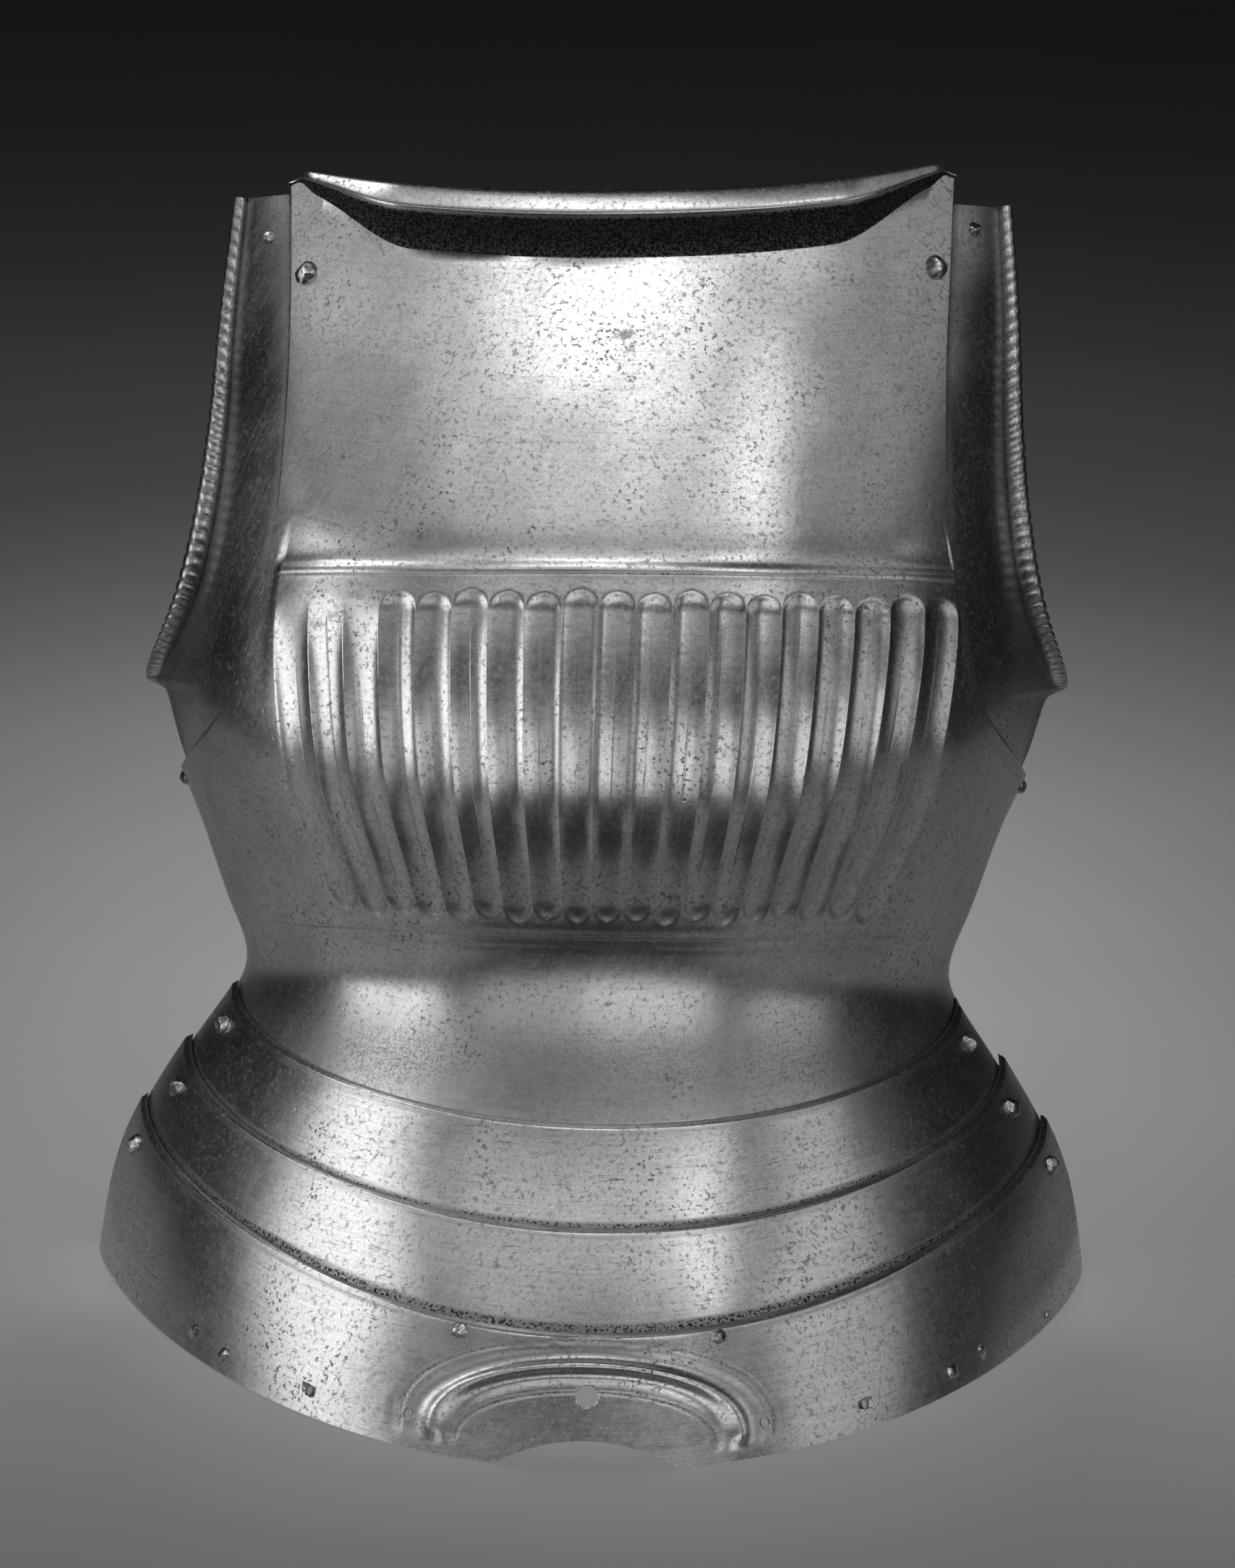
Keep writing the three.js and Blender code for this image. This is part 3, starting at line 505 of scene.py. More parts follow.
def worn_steel(name, tone=0.56, roughness=0.27, level=1.0, upright=1.0, pitting=1.0, seed=0.0):
    """Old polished steel: fine scratches both ways, clouding, dark specks, pits, and grime in its grooves
    together with painted shade, both read from the mesh's points.
    """
    paint = Paint(name)
    shifted = paint.node("ShaderNodeMapping", {}, {"Vector": paint.place, "Location": (seed, seed, seed)})
    paint.place = shifted
    cloud = paint.noise(15, 5, 0.55)
    mottle = paint.noise(330, 5, 0.65)
    grain = paint.noise(950, 3, 0.6)
    patches = paint.noise(30, 6, 0.62)
    level_grain = paint.noise(1, 4, 0.6, paint.moved((16, 16, 1500)))
    upright_grain = paint.noise(1, 4, 0.6, paint.moved((1400, 1400, 18), (0, 9, 0)))
    slanting = paint.noise(1, 3, 0.5, paint.moved((620, 620, 12), (0, -24, 0)))
    dashes = paint.noise(1, 2, 0.5, paint.moved((90, 90, 1300), (0, 3, 0)))
    # The points' darkening: grime and dark lines, and painted shade in coves, hollows and beside lapping
    # edges.
    dirt_and_shade = paint.node("ShaderNodeAttribute", {"attribute_name": "dirt_and_shade"}, output="Fac")
    dirt_and_shade = dirt_and_shade * (0.7 + 0.9 * grain.step(0.45, 0.62))

    strokes = paint.noise(1, 4, 0.6, paint.moved((70, 70, 7), (0, -24, 0)))

    worn_zone = patches.step(0.54 - 0.1 * pitting, 0.70)
    scatter = paint.noise(560, 6, 0.7)
    specks = scatter.step(0.55, 0.59) * (0.4 + 0.6 * worn_zone)
    smears = paint.noise(85, 5, 0.7).step(0.58, 0.74) * (0.5 * cloud.step(0.42, 0.58))
    fine_pits = paint.spots(620, 0.30) * (mottle.step(0.50, 0.62) * worn_zone)
    deep_pits = paint.spots(150, 0.14) * patches.step(0.55, 0.66)
    dark = (specks * 0.9).larger(fine_pits * 0.8).larger(deep_pits)
    dark = dark.larger(dirt_and_shade).larger(smears * pitting)
    scored = dashes.step(0.62, 0.72) * (0.3 * level) + slanting.step(0.6, 0.7) * (0.12 * upright)

    sheen = 1 + 0.5 * (cloud - 0.5) + 0.16 * (mottle - 0.5) + 0.55 * (grain - 0.5)
    sheen = sheen + 0.35 * upright * (strokes - 0.5)
    sheen = sheen + 0.24 * (level_grain - 0.5) * level + 0.2 * (upright_grain - 0.5) * upright
    clean = paint.blend(sheen.step(0.7, 1.3), grey(tone * 0.72), grey(tone * 1.28))
    stained = paint.blend(cloud.step(0.56, 0.72) * 0.16, clean, grey(tone * 0.8, 0.07))
    scratched = paint.blend(scored, stained, grey(tone * 0.4))
    colour = paint.blend(dark * 0.86, scratched, grey(0.03, 0.06))

    rough = roughness + 0.16 * (cloud - 0.5) + 0.07 * (mottle - 0.5) + 0.10 * (slanting - 0.5) * upright
    rough = rough + 0.34 * dark
    height = (cloud * 0.5 + level_grain * (0.004 * level) + upright_grain * (0.0045 * upright)
              + slanting * (0.004 * upright) + grain * 0.004 - fine_pits * 0.05 - deep_pits * 0.12)
    looks = {"Base Color": colour, "Metallic": 1.0, "Roughness": rough}
    return paint.finish(looks, height)


def dark_inside(name):
    """The inner face: forge-dark, oxidised and dull."""
    paint = Paint(name)
    cloud = paint.noise(30, 6, 0.6)
    grit = paint.noise(420, 5, 0.6)
    marks = paint.spots(90, 0.5)
    colour = paint.blend(cloud.step(0.35, 0.68), grey(0.055, 0.05), grey(0.15, 0.04))
    rusty = paint.blend(grit.step(0.58, 0.72) * 0.5, colour, (0.10, 0.052, 0.030, 1.0))
    rough = 0.5 + 0.25 * (cloud - 0.5) + 0.2 * (grit - 0.5)
    looks = {"Base Color": rusty, "Metallic": 0.85, "Roughness": rough}
    return paint.finish(looks, grit * 0.05 - marks * 0.05 + cloud * 0.2)


def rivet_iron(name, tone=0.34):
    paint = Paint(name)
    cloud = paint.noise(260, 5, 0.6)
    wear = paint.noise(900, 4, 0.6)
    pits = paint.spots(900, 0.3)
    colour = paint.blend(cloud.step(0.4, 0.62), grey(tone * 0.35, 0.05), grey(tone * 1.3))
    colour = paint.blend(pits * 0.7, colour, grey(0.03))
    rough = 0.26 + 0.3 * (wear - 0.5) + 0.2 * pits
    looks = {"Base Color": colour, "Metallic": 1.0, "Roughness": rough}
    return paint.finish(looks, cloud * 0.22 + wear * 0.05 - pits * 0.08)


PLATE_STEEL = worn_steel("plate_steel", tone=0.56, seed=0.0)
# The gussets' steel: its lower tone is painted shade, as the gussets face aside from the light; its grain
# and pitting are its own.
GUSSET_STEEL_SHADED = worn_steel("gusset_steel", tone=0.44, level=0.4, upright=1.5, pitting=1.3, seed=3.1)
LAME_STEEL = worn_steel("lame_steel", tone=0.54, level=1.8, upright=0.5, pitting=0.6, seed=5.7)
INSIDE_STEEL = dark_inside("inner_face")
RIVET_IRON = rivet_iron("rivet_iron", tone=0.5)


def dress(piece, body, node, outside):
    piece.data.materials.append(outside)
    piece.data.materials.append(INSIDE_STEEL)
    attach(piece, body)
    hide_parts(node)


# ---- Main plate ------------------------------------------------------------------------------------


def plate_side_turn(z):
    side = math.radians(PLATE_SIDE_TURN)
    return np.where(z < SEAM_FOOT, side, np.minimum(side, turn_at(seam_half(z), z)))


def neck_top(x):
    corner = smooth(np.abs(x), 119, 130)
    return NECK_TOP + 9 * (np.abs(x) / 100) ** 2.2 - 6 * corner


def neck_size(x):
    fade = smooth(np.abs(x), 80, 127)
    return (1 - 0.7 * fade) * (1 - 0.8 * smooth(np.abs(x), 119, 126))


def plate_columns():
    """Columns across the plate. -1 to 1 spans the fluting and 1 to 2 the flank beside it."""
    steps = [0, 0.03, 0.06, 0.13, 0.25, 0.42, 0.6, 0.78, 0.9, 0.96]
    spans = []
    for nth in range(-FLUTES, FLUTES):
        spans += [(nth + s) / FLUTES for s in steps]
    flank = [1.03, 1.08, 1.14, 1.22, 1.3, 1.39, 1.48, 1.57, 1.66, 1.75, 1.83, 1.9, 1.95, 1.98]
    flank += [1.992, 1.997, 2]
    return np.array([-f for f in reversed(flank)] + spans + [1.0] + flank)


def column_turn(column, z):
    size = np.abs(column)
    aside = FLUTES_ASIDE * smooth(z, -20, 30) * (1 - smooth(z, 150, 250))
    band = turn_at(flute_half(z) * np.clip(column, -1, 1) + aside, z)
    return band + (np.sign(column) * plate_side_turn(z) - band) * np.clip(size - 1, 0, 1)


def neck_places(columns):
    """How far to the right each column stands at the neck."""
    return torso_half(NECK_LEVEL) * np.sin(column_turn(columns, np.full(len(columns), NECK_LEVEL)))


def plate_edge_height(z, turn):
    """The plate's lower edge, which follows the slope of the first lame's."""
    return edge_height((z, EDGES[1][1]), turn, np.zeros(np.shape(turn)))


def plate_rows():
    """Heights up the plate from its lower edge to just above the fluting, closest where it turns most."""
    low = [-60, -56, -51, -46, -40, -34, -28, -22, -16, -10, -4, 2, 8, 13]
    step = [16, 17.6, 19, 20, 20.8, 21.4, 21.9, 22.3, 22.7, 23.1, 23.6, 24.4, 25.4, 26.4]
    bottoms = list(np.arange(27.2, 39, 0.7))
    middle = [41, 45, 50, 56, 63, 70, 77, 84, 91, 98, 105, 112, 119, 126, 132, 137, 140]
    tops = list(np.arange(142, 153, 0.7))
    band = [153.6, 154.8, 156, 157, 157.5, 157.9, 158.2, 158.5, 158.9, 159.5, 160.3, 161.3, 162.5, 164, 166]
    band += [168.4, FULL_ROWS_END]
    return low + step + bottoms + middle + tops + band


def flute_depth(column, z):
    """How far the channels sink at a place, and how dark it is there: dirt in the engraved lines, and
    painted shade at the channels' lower ends.
    """
    nth = column * FLUTES
    middle = 2 * np.round(nth / 2)
    middle = np.clip(middle, -FLUTES + 1, FLUTES - 1)
    side = nth - middle
    top = FLUTE_TOP + 0.8 * np.sin(middle * 2.1)
    bottom = FLUTE_BOTTOM + 1.0 * np.sin(middle * 1.3)
    past = np.minimum(top - z, z - bottom) / FLUTE_HALF
    round_end = np.sqrt(side**2 + np.clip(1 - past, 0, None) ** 2)
    near = np.clip(1 - round_end, 0, None) * (np.abs(nth) <= FLUTES)
    bank = 1 - np.exp(-((near / 0.22) ** 1.6))
    soft_top = np.where(middle < -12, smooth(top - z, -2, 34), 1)
    deep = (0.5 * bank + 1.15 * (1 - (1 - near) ** 2)) * soft_top
    start = 24 + 14 * np.sin(middle * 1.7)
    finish = 22 + 14 * np.sin(middle * 2.9 + 1)
    length = smooth(z, bottom + finish, bottom + finish + 5) * (1 - smooth(z, top - start, top - start + 5))
    line = hump(side, 0.12 * np.sin(middle * 5.1), 0.045) * length
    # Painted shade round the rim of each channel's lower end.
    foot = 0.45 * smooth(near, 0.02, 0.12) * (1 - smooth(near, 0.2, 0.5)) * (z < bottom + 6)
    broken = 0.55 + 0.45 * np.sin(z * 0.9 + middle * 3.7) * np.sin(z * 0.37 + middle)
    return deep + 0.12 * line, 0.95 * line * broken + foot


def plate_relief(column, z, x):
    """How far the plate's outer face stands off the torso at a place, and how dark it is there, from dirt
    and from painted shade.
    """
    taper = 1 - smooth(np.abs(column), 1.0, 1.45)
    sink, dirt_and_shade = flute_depth(column, z)
    in_band = smooth(z, BAND_FOOT - 2.5, BAND_FOOT) * (1 - smooth(z, BAND_TOP, BAND_TOP + 2.5))
    relief = RIDGE_HEIGHT * in_band * taper - sink
    relief += taper * 0.4 * hump(z, 160.1, 3.6)
    relief -= taper * 0.5 * hump(z, 166.5, 9)
    relief += taper * 0.2 * hump(z, 25.8, 2.2)
    worn_off = 0.6 + 0.4 * np.sin(x / 23 + 1)
    for line in (UPPER_LINE, LOWER_LINE):
        mark = hump(z, line + 0.2 * np.sin(x / 31), 0.7) * taper
        relief -= 0.14 * mark
        dirt_and_shade = np.maximum(dirt_and_shade, 0.75 * mark * worn_off)
    dirt_and_shade = np.maximum(dirt_and_shade, WAIST_DARK_BAND["amount"] * hump(z, WAIST_DARK_BAND["z"], WAIST_DARK_BAND["height"]))
    dirt_and_shade = np.maximum(dirt_and_shade, 0.6 * smooth(np.abs(column), 1.985, 2) * (z > 60))
    return relief, dirt_and_shade


def turned_neck(columns, across):
    """The rows of the neck's turned edge above its foot, and the painted shade on their underside."""
    size = neck_size(across)
    top = neck_top(across)
    ahead = torso_normal(turn_at(across, top), top)
    ahead[:, 2] = 0
    ahead = unit(ahead)
    rows, dirt_and_shade = [], []
    for out, down in list(zip(NECK_PROFILE["out"], NECK_PROFILE["down"]))[1:]:
        at = top - down * size
        place = torso_point(column_turn(columns, at), at)
        reach = out * (size if out > 0 else 1)
        wobble = unevenness(place, 9, 0.25, 60)
        rows.append(place + ahead * (reach + wobble * (out > 0.2))[:, None])
        # Painted shade: the rows on the underside of the turned edge, below the crest, are darkened.
        dirt_and_shade.append(np.full(len(columns), COVE_SHADE if out < 13 and down > 9 else 0.0))
    return np.array(rows), np.array(dirt_and_shade)


def main_plate():
    columns = plate_columns()
    heights = []
    for z in plate_rows():
        level = np.full(len(columns), float(z))
        if z < ROWS_LEAN_BELOW:
            share = (ROWS_LEAN_BELOW - z) / (ROWS_LEAN_BELOW - PLATE_FOOT)
            rise = plate_edge_height(PLATE_FOOT, column_turn(columns, level)) - PLATE_FOOT
            level = level + rise * smooth(share, 0, 1.15)
        heights.append(level)
    across = neck_places(columns)
    foot = neck_top(across) - NECK_ROOM * neck_size(across)
    for share in np.linspace(0, 1, 26)[1:]:
        heights.append(FULL_ROWS_END + (foot - FULL_ROWS_END) * share)
    z = np.array(heights)
    column = np.broadcast_to(columns, z.shape)
    turn = column_turn(column, z)
    flat = torso_point(turn, z)
    relief, dirt_and_shade = plate_relief(column, z, flat[..., 0])
    relief += unevenness(flat, 3, 0.30, 55)
    edge = np.minimum(2 - np.abs(column), 1) * 40
    relief -= 0.5 * (1 - np.sqrt(np.clip(1 - np.clip(1 - edge, 0, 1) ** 2, 0, 1)))
    neck, neck_painted_shade = turned_neck(columns, across)
    outer = np.concatenate([off_torso(turn, z, relief), neck])
    dirt_and_shade = np.concatenate([dirt_and_shade, neck_painted_shade])

    few = np.linspace(-2, 2, 81)
    low = plate_edge_height(PLATE_FOOT, column_turn(few, np.full(len(few), PLATE_FOOT)))
    high = neck_top(neck_places(few)) - 1.2
    inner_rows = []
    for share in np.linspace(0, 1, 64):
        at = low + (high - low) * share
        sunk = FLUTE_DEPTH * smooth(at, 26, 38) * (1 - smooth(at, 143, 153)) * (np.abs(few) < 1.1)
        inner_rows.append(off_torso(column_turn(few, at), at, -PLATE_THICKNESS - 0.6 * sunk))
    shell = Shell()
    shell.sheet(outer, np.array(inner_rows), dirt_and_shade)
    piece = shell.build("main_plate", 40)
    dress(piece, "main_plate", "breast_plate", PLATE_STEEL)


# ---- Gussets ---------------------------------------------------------------------------------------


def gusset_lines(side):
    """What GUSSET's columns are along one gusset, from its foot up, and where its two edges run."""
    steps = np.concatenate([np.linspace(0, 12, 330), np.linspace(12, 16, 30)[1:]])[::-1]
    line = {key: eased(GUSSET, key)(steps) for key in GUSSET if key != "z"}
    for key in ("in", "out"):
        line[key] = line[key] + GUSSET_TOPS[side] * smooth(line[key], 240, 306)
    line["steps"] = steps
    line["out_turn"] = np.radians(line.pop("turn"))
    line["in_turn"] = plate_side_turn(line["in"]) - math.radians(GUSSET_LAP)
    return line


def gusset_strip(line, seed):
    """The strip from under the main plate's edge to the roll: outer rows, inner rows, and dirt with painted
    shade in the hollow beside the roll.
    """
    outer, inner, dirt_and_shade = [], [], []
    for share in np.linspace(0, 0.8, 16):
        turn = line["in_turn"] + (line["out_turn"] - line["in_turn"]) * share
        z = line["in"] + (line["out"] - line["in"]) * share
        off = GUSSET_OUTER + line["lift"] * share**3 - line["tuck"] * (1 - share) ** 1.5
        bumpy = unevenness(torso_point(turn, z), seed, 0.2, 40)
        outer.append(off_torso(turn, z, off + bumpy))
        inner.append(off_torso(turn, z, off - GUSSET_THICKNESS))
        past_seam = np.degrees(turn - plate_side_turn(z))
        # Painted shade in the hollow beside the roll, low down the gusset.
        hollow_shade = 0.75 * smooth(share, 0.45, 0.8) * smooth(z, 60, 90) * (1 - smooth(z, 120, 165))
        dirt_and_shade.append(np.maximum(0.9 * (1 - smooth(past_seam, 0.3, 2.2)), hollow_shade))
    return outer, inner, dirt_and_shade


def gusset_roll(line, strip_end, seed):
    """The roped roll past the strip's end: outer rows, inner rows, and grime with painted shade where the
    roll rises from the strip.
    """
    roll, turn, z = line["roll"], line["out_turn"], line["out"]
    normal = torso_normal(turn, z)
    foot = off_torso(turn, z, GUSSET_OUTER + line["lift"] - GUSSET_THICKNESS)
    outward = foot - strip_end
    outward = unit(outward - normal * np.sum(outward * normal, axis=-1, keepdims=True))
    centre = foot + normal * roll[:, None]
    along = np.concatenate([[0], np.cumsum(np.linalg.norm(np.diff(centre, axis=0), axis=-1))])
    draw = np.random.default_rng(seed)
    wander = np.cumsum(draw.normal(0, 0.02, len(along)))
    start = math.pi - np.arcsin(np.clip((GUSSET_THICKNESS - roll) / roll, -1, 1))
    finish = math.radians(-20)
    full = smooth(roll, 1.2, 3.2) * (0.35 + 0.65 * smooth(line["steps"], 0, 3))

    def on_roll(angle, rope=1.0):
        phase = math.pi * (along / ROPE_PITCH + wander) + angle * 0.9
        groove = (1 - np.abs(np.sin(phase))) ** 2.2
        radius = roll * (1 - ROPE_DEPTH * rope * full * groove)
        grime = rope * full * groove
        place = centre + outward * (radius * np.cos(angle))[:, None]
        return place + normal * (radius * np.sin(angle))[:, None], grime

    outer, inner, dirt_and_shade = [], [], []
    for k in range(22):
        place, grime = on_roll(start + (finish + 0.06 - start) * k / 21, smooth(k, 0, 4) + 0 * start)
        outer.append(place)
        # Grime in the roping's grooves, and painted shade in the crease where the roll rises from the strip.
        dirt_and_shade.append(grime * 0.75 + 0.5 * (1 - smooth(k, 0, 4)))
    for k in range(8):
        place, _ = on_roll(-math.pi / 2 + (finish + math.pi / 2) * k / 7 + 0 * start, 0.0)
        inner.append(place)
    return outer, inner, dirt_and_shade


def gusset(side, name):
    """A gusset: a strip under the main plate's edge, then the roped roll along the armhole."""
    line = gusset_lines(side)
    strip = gusset_strip(line, 11 + (side > 0))
    roll = gusset_roll(line, strip[1][-1], 17 + (side > 0))
    outer, inner, dirt_and_shade = (np.array(near + far).swapaxes(0, 1) for near, far in zip(strip, roll))
    if side < 0:
        outer, inner = (g[:, ::-1] * [-1, 1, 1] for g in (outer, inner))
        dirt_and_shade = dirt_and_shade[:, ::-1]
    shell = Shell()
    shell.sheet(outer, inner, dirt_and_shade)
    piece = shell.build(name, 60)
    dress(piece, "main_plate", name, GUSSET_STEEL_SHADED)


# ---- Skirt -----------------------------------------------------------------------------------------


def lame_grid(number, turns, lower, downs):
    """The heights of a lame's outer and inner rows. downs are below its top edge, the last the whole way."""
    outer_off = LAME_OUTER[number]
    top = edge_height(EDGES[number], turns, np.full(len(turns), outer_off))
    room = top - lower(turns, outer_off)
    rows = []
    for down in downs:
        if down < 5:
            rows.append(top - np.minimum(down, room))
        else:
            rows.append(top - 5 - (room - 5) * (down - 5) / (downs[-1] - 5))
    inner_off = outer_off - LAME_THICKNESS
    inner_top = edge_height(EDGES[number], turns, np.full(len(turns), inner_off))
    inner_bottom = lower(turns, inner_off)
    inner_rows = [inner_top - (inner_top - inner_bottom) * share for share in np.linspace(1, 0, 20)]
    return np.array(rows)[::-1], np.array(inner_rows)


def tucked(number):
    return lambda turns, distance: edge_height(EDGES[number], turns, np.full(len(turns), distance), LAME_LAP)


TOP_ROWS = [0, 0.25, 0.6, 1.1, 1.7, 2.6, 4]


def from_side(turn, reach):
    """Millimetres from a lame's side edge, reach being the torso's radius there."""
    return (math.radians(LAME_SIDE_TURN) - np.abs(turn)) * reach


def worn_edges(relief, below, turn, reach):
    """Rounds a lame's top edge, below which a place lies, and its side edges."""
    relief = relief - 0.7 * (1 - smooth(below, 0, 1.2)) * (1 - 0.3 * np.sin(turn * 9))
    return relief - 0.6 * (1 - smooth(from_side(turn, reach), 0, 1.4))


def lame_shell(number, turns, z, inner_z, relief, dirt_and_shade):
    """A lame's closed sheet. Its inner face has a third of the columns."""
    outer = off_torso(np.broadcast_to(turns, z.shape), z, relief)
    few = turns[::3]
    inner_turn = np.broadcast_to(few, (len(inner_z), len(few)))
    inner = off_torso(inner_turn, inner_z[:, ::3], LAME_OUTER[number] - LAME_THICKNESS)
    shell = Shell()
    shell.sheet(outer, inner, dirt_and_shade)
    return shell


def lame(number, body):
    turns = np.radians(LAME_SIDE_TURN) * np.sin(np.linspace(-1, 1, 181) * 1.35) / math.sin(1.35)
    downs = TOP_ROWS + list(np.linspace(6, 60, 34))
    z, inner_z = lame_grid(number, turns, tucked(number + 1), downs)
    turn = np.broadcast_to(turns, z.shape)
    relief = LAME_OUTER[number] + unevenness(torso_point(turn, z), 20 + number, 0.26, 60)
    below = z[-1] - z
    relief = worn_edges(relief, below, turn, LAME_REACH)
    if number == 1:
        relief = relief - 1.6 * (1 - smooth(from_side(turn, LAME_REACH), 0, 13)) * (turn > 0)
    next_edge = edge_height(EDGES[number + 1], turns, np.full(len(turns), 2.0))
    # Painted shadow: a dark band on this lame just above the next lame's top edge, which laps over it; and a
    # dark line just below its own top edge.
    dirt_and_shade = np.maximum(0.75 * (1 - smooth(z - next_edge, 0.1, 1.1)), 0.3 * hump(below, 2.2, 0.8))
    name = f"skirt_lame_{number}"
    piece = lame_shell(number, turns, z, inner_z, relief, dirt_and_shade).build(name, 45)
    dress(piece, body, name, LAME_STEEL)


def arch_height(x):
    across = np.minimum(1, np.abs(x) / ARCH_HALF_WIDTH)
    return ARCH_HEIGHT * (1 - across * across)


def foot_height(turns, distance):
    edge = edge_height(EDGES["foot"], turns, np.full(np.shape(turns), distance))
    return edge + arch_height(torso_point(turns, edge)[..., 0])


def arc_distance(x, above, arc):
    """Distance from an arc round the arch, outward positive."""
    across = x / arc["half"]
    height = arc["top"] - arc["foot"]
    rise = np.maximum(above - arc["foot"], 0) / height
    return (np.sqrt(across**2 + rise**2) - 1) * height * (1 + 0.35 * np.abs(across))


def last_lame():
    inner_part = turn_at(np.linspace(-66, 66, 133), -160.0)
    side = np.linspace(inner_part[-1], math.radians(LAME_SIDE_TURN), 66)[1:]
    turns = np.concatenate([-side[::-1], inner_part, side])
    downs = TOP_ROWS + list(np.linspace(6, 60, 64))
    z, inner_z = lame_grid(3, turns, foot_height, downs)
    turn = np.broadcast_to(turns, z.shape)
    flat = torso_point(turn, z)
    edge = edge_height(EDGES["foot"], turns, np.full(len(turns), LAME_OUTER[3]))
    above = z - edge
    x = flat[..., 0]
    ridge = arc_distance(x, above, ARCH_RIDGE)
    inner_line = arc_distance(x, above, ARCH_INNER_LINE)
    outer_line = arc_distance(x, above, ARCH_OUTER_LINE)
    live = smooth(above, 3, 9)
    relief = LAME_OUTER[3] + unevenness(flat, 23, 0.26, 60)
    raised = 1.7 * hump(ridge, 0, 3.4) - 0.35 * hump(ridge, -4, 3) - 0.4 * hump(ridge, 4.5, 4)
    relief = relief + live * raised
    relief = relief - live * (0.3 * hump(inner_line, 0, 0.8) + 0.35 * hump(outer_line, 0, 0.9))
    below = z[-1] - z
    relief = worn_edges(relief, below, turn, LAST_LAME_REACH)
    dirt_and_shade = 0.7 * hump(inner_line, 0, 1.2) + 0.6 * hump(outer_line, 0, 1.6) + 0.3 * hump(ridge, 4.5, 2)
    dirt_and_shade = live * dirt_and_shade
    dirt_and_shade = np.maximum(dirt_and_shade, 0.35 * hump(below, 2.6, 1.2))
    for stain_x, stain_z, reach in STAINS:
        away = np.hypot(x - stain_x, z - stain_z)
        dirt_and_shade = np.maximum(dirt_and_shade, 0.45 * (1 - smooth(away, 2, reach)))
    shell = lame_shell(3, turns, z, inner_z, relief, dirt_and_shade)
    shell.tube(*arch_roll())
    piece = shell.build("skirt_lame_3", 45)
    cut_holes(piece)
    dress(piece, "last_lame", "skirt_lame_3", LAME_STEEL)


def arch_roll():
    """The turned rim of the arch, with short marks cut across it in three groups."""
    steps, sides = 240, 20
    shares = np.linspace(0, 1, steps)
    x = ARCH_HALF_WIDTH * (2 * shares - 1)
    turns = turn_at(x, -165.8)
    distance = LAME_OUTER[3] - LAME_THICKNESS / 2 + 0.5
    size = ARCH_ROLL_RADIUS * (0.35 + 0.65 * smooth(1 - np.abs(2 * shares - 1), 0, 0.22))
    z = foot_height(turns, distance) + size * (0.95 + 0.35 * np.abs(2 * shares - 1))
    middle = off_torso(turns, z, np.full(steps, distance))
    normal = torso_normal(turns, z)
    along = unit(np.gradient(middle, axis=0))
    across = unit(np.cross(normal, along))
    up = np.cross(along, across)
    cuts = np.zeros(steps)
    for place in ARCH_ROLL_CUTS:
        cuts = np.maximum(cuts, hump(x, place, 0.9))
    loops, dirt_and_shade = [], []
    for k in range(sides):
        angle = 2 * math.pi * k / sides
        reach = size * (1 - 0.2 * cuts)
        aside = across * (reach * math.cos(angle))[:, None] + up * (reach * math.sin(angle))[:, None]
        loops.append(middle + aside)
        dirt_and_shade.append(0.85 * cuts)
    return np.array(loops).swapaxes(0, 1), np.array(dirt_and_shade).swapaxes(0, 1)


# ---- Rivets ----------------------------------------------------------------------------------------


def sheet_faces(layer):
    if layer == "plate":
        return 0.0, -PLATE_THICKNESS
    if layer == "gusset":
        return GUSSET_OUTER, GUSSET_OUTER - GUSSET_THICKNESS
    return LAME_OUTER[layer], LAME_OUTER[layer] - LAME_THICKNESS


def rivet(name, kind, place, z, outer_sheet, inner_sheet, body, side, seed):
    """A hand-hammered rivet: a domed head with flats beaten on it, a shank and a clench."""
    size = RIVET_KINDS[kind]
    turn = math.radians(place["turn"]) if "turn" in place else float(turn_at(place["x"], float(z)))
    under = sheet_faces(outer_sheet)[0] - 0.15
    inside = sheet_faces(inner_sheet)[1] - 0.3
    if name == "rivet_gusset_foot":
        inside -= FOOT_RIVET_EXTRA
    clench, shank = size["clench"], size["shank"]
    if clench:
        foot = [(clench * 0.7, inside - 1.1), (clench, inside - 0.8), (clench, inside), (shank, inside)]
    else:
        foot = [(shank, inside + 1.2)]
    dome = [(size["head"] * math.cos(a), under + 0.25 + size["rise"] * math.sin(a))
            for a in np.radians([0, 12, 26, 40, 54, 68, 80])]
    profile = [(TIP, foot[0][1])] + foot + [(shank, under), (size["head"] * 0.97, under)] + dome
    draw = np.random.default_rng(seed)
    flats = [
        (draw.uniform(0, 2 * math.pi), draw.uniform(0.25, 1.1), draw.uniform(0.72, 0.9))
        for _ in range(7)
    ]
    rings = []
    around = np.linspace(0, 2 * math.pi, 33)[:-1]
    for radius, height in profile + [(TIP, under + 0.25 + size["rise"])]:
        ring = np.stack([radius * np.cos(around), radius * np.sin(around), np.full(32, height)], axis=-1)
        if height > under:
            local = ring - [0, 0, under]
            for heading, climb, reach in flats:
                level, steep = math.cos(climb), math.sin(climb)
                axis = np.array([math.cos(heading) * level, math.sin(heading) * level, steep])
                limit = reach * (size["head"] * level**2 + size["rise"] * steep**2)
                over = np.maximum(local @ axis - limit, 0)
                local = local - axis * over[:, None]
            ring = local + [0, 0, under]
        rings.append(ring)
    shell = Shell()
    loops = seated(np.array(rings), side * turn, z)
    shell.tube(loops)
    label = f"{name}_{'left' if side < 0 else 'right'}"
    piece = shell.build(label, 35)
    piece.data.materials.append(RIVET_IRON)
    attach(piece, body)
    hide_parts(label)


# ---- The object ------------------------------------------------------------------------------------

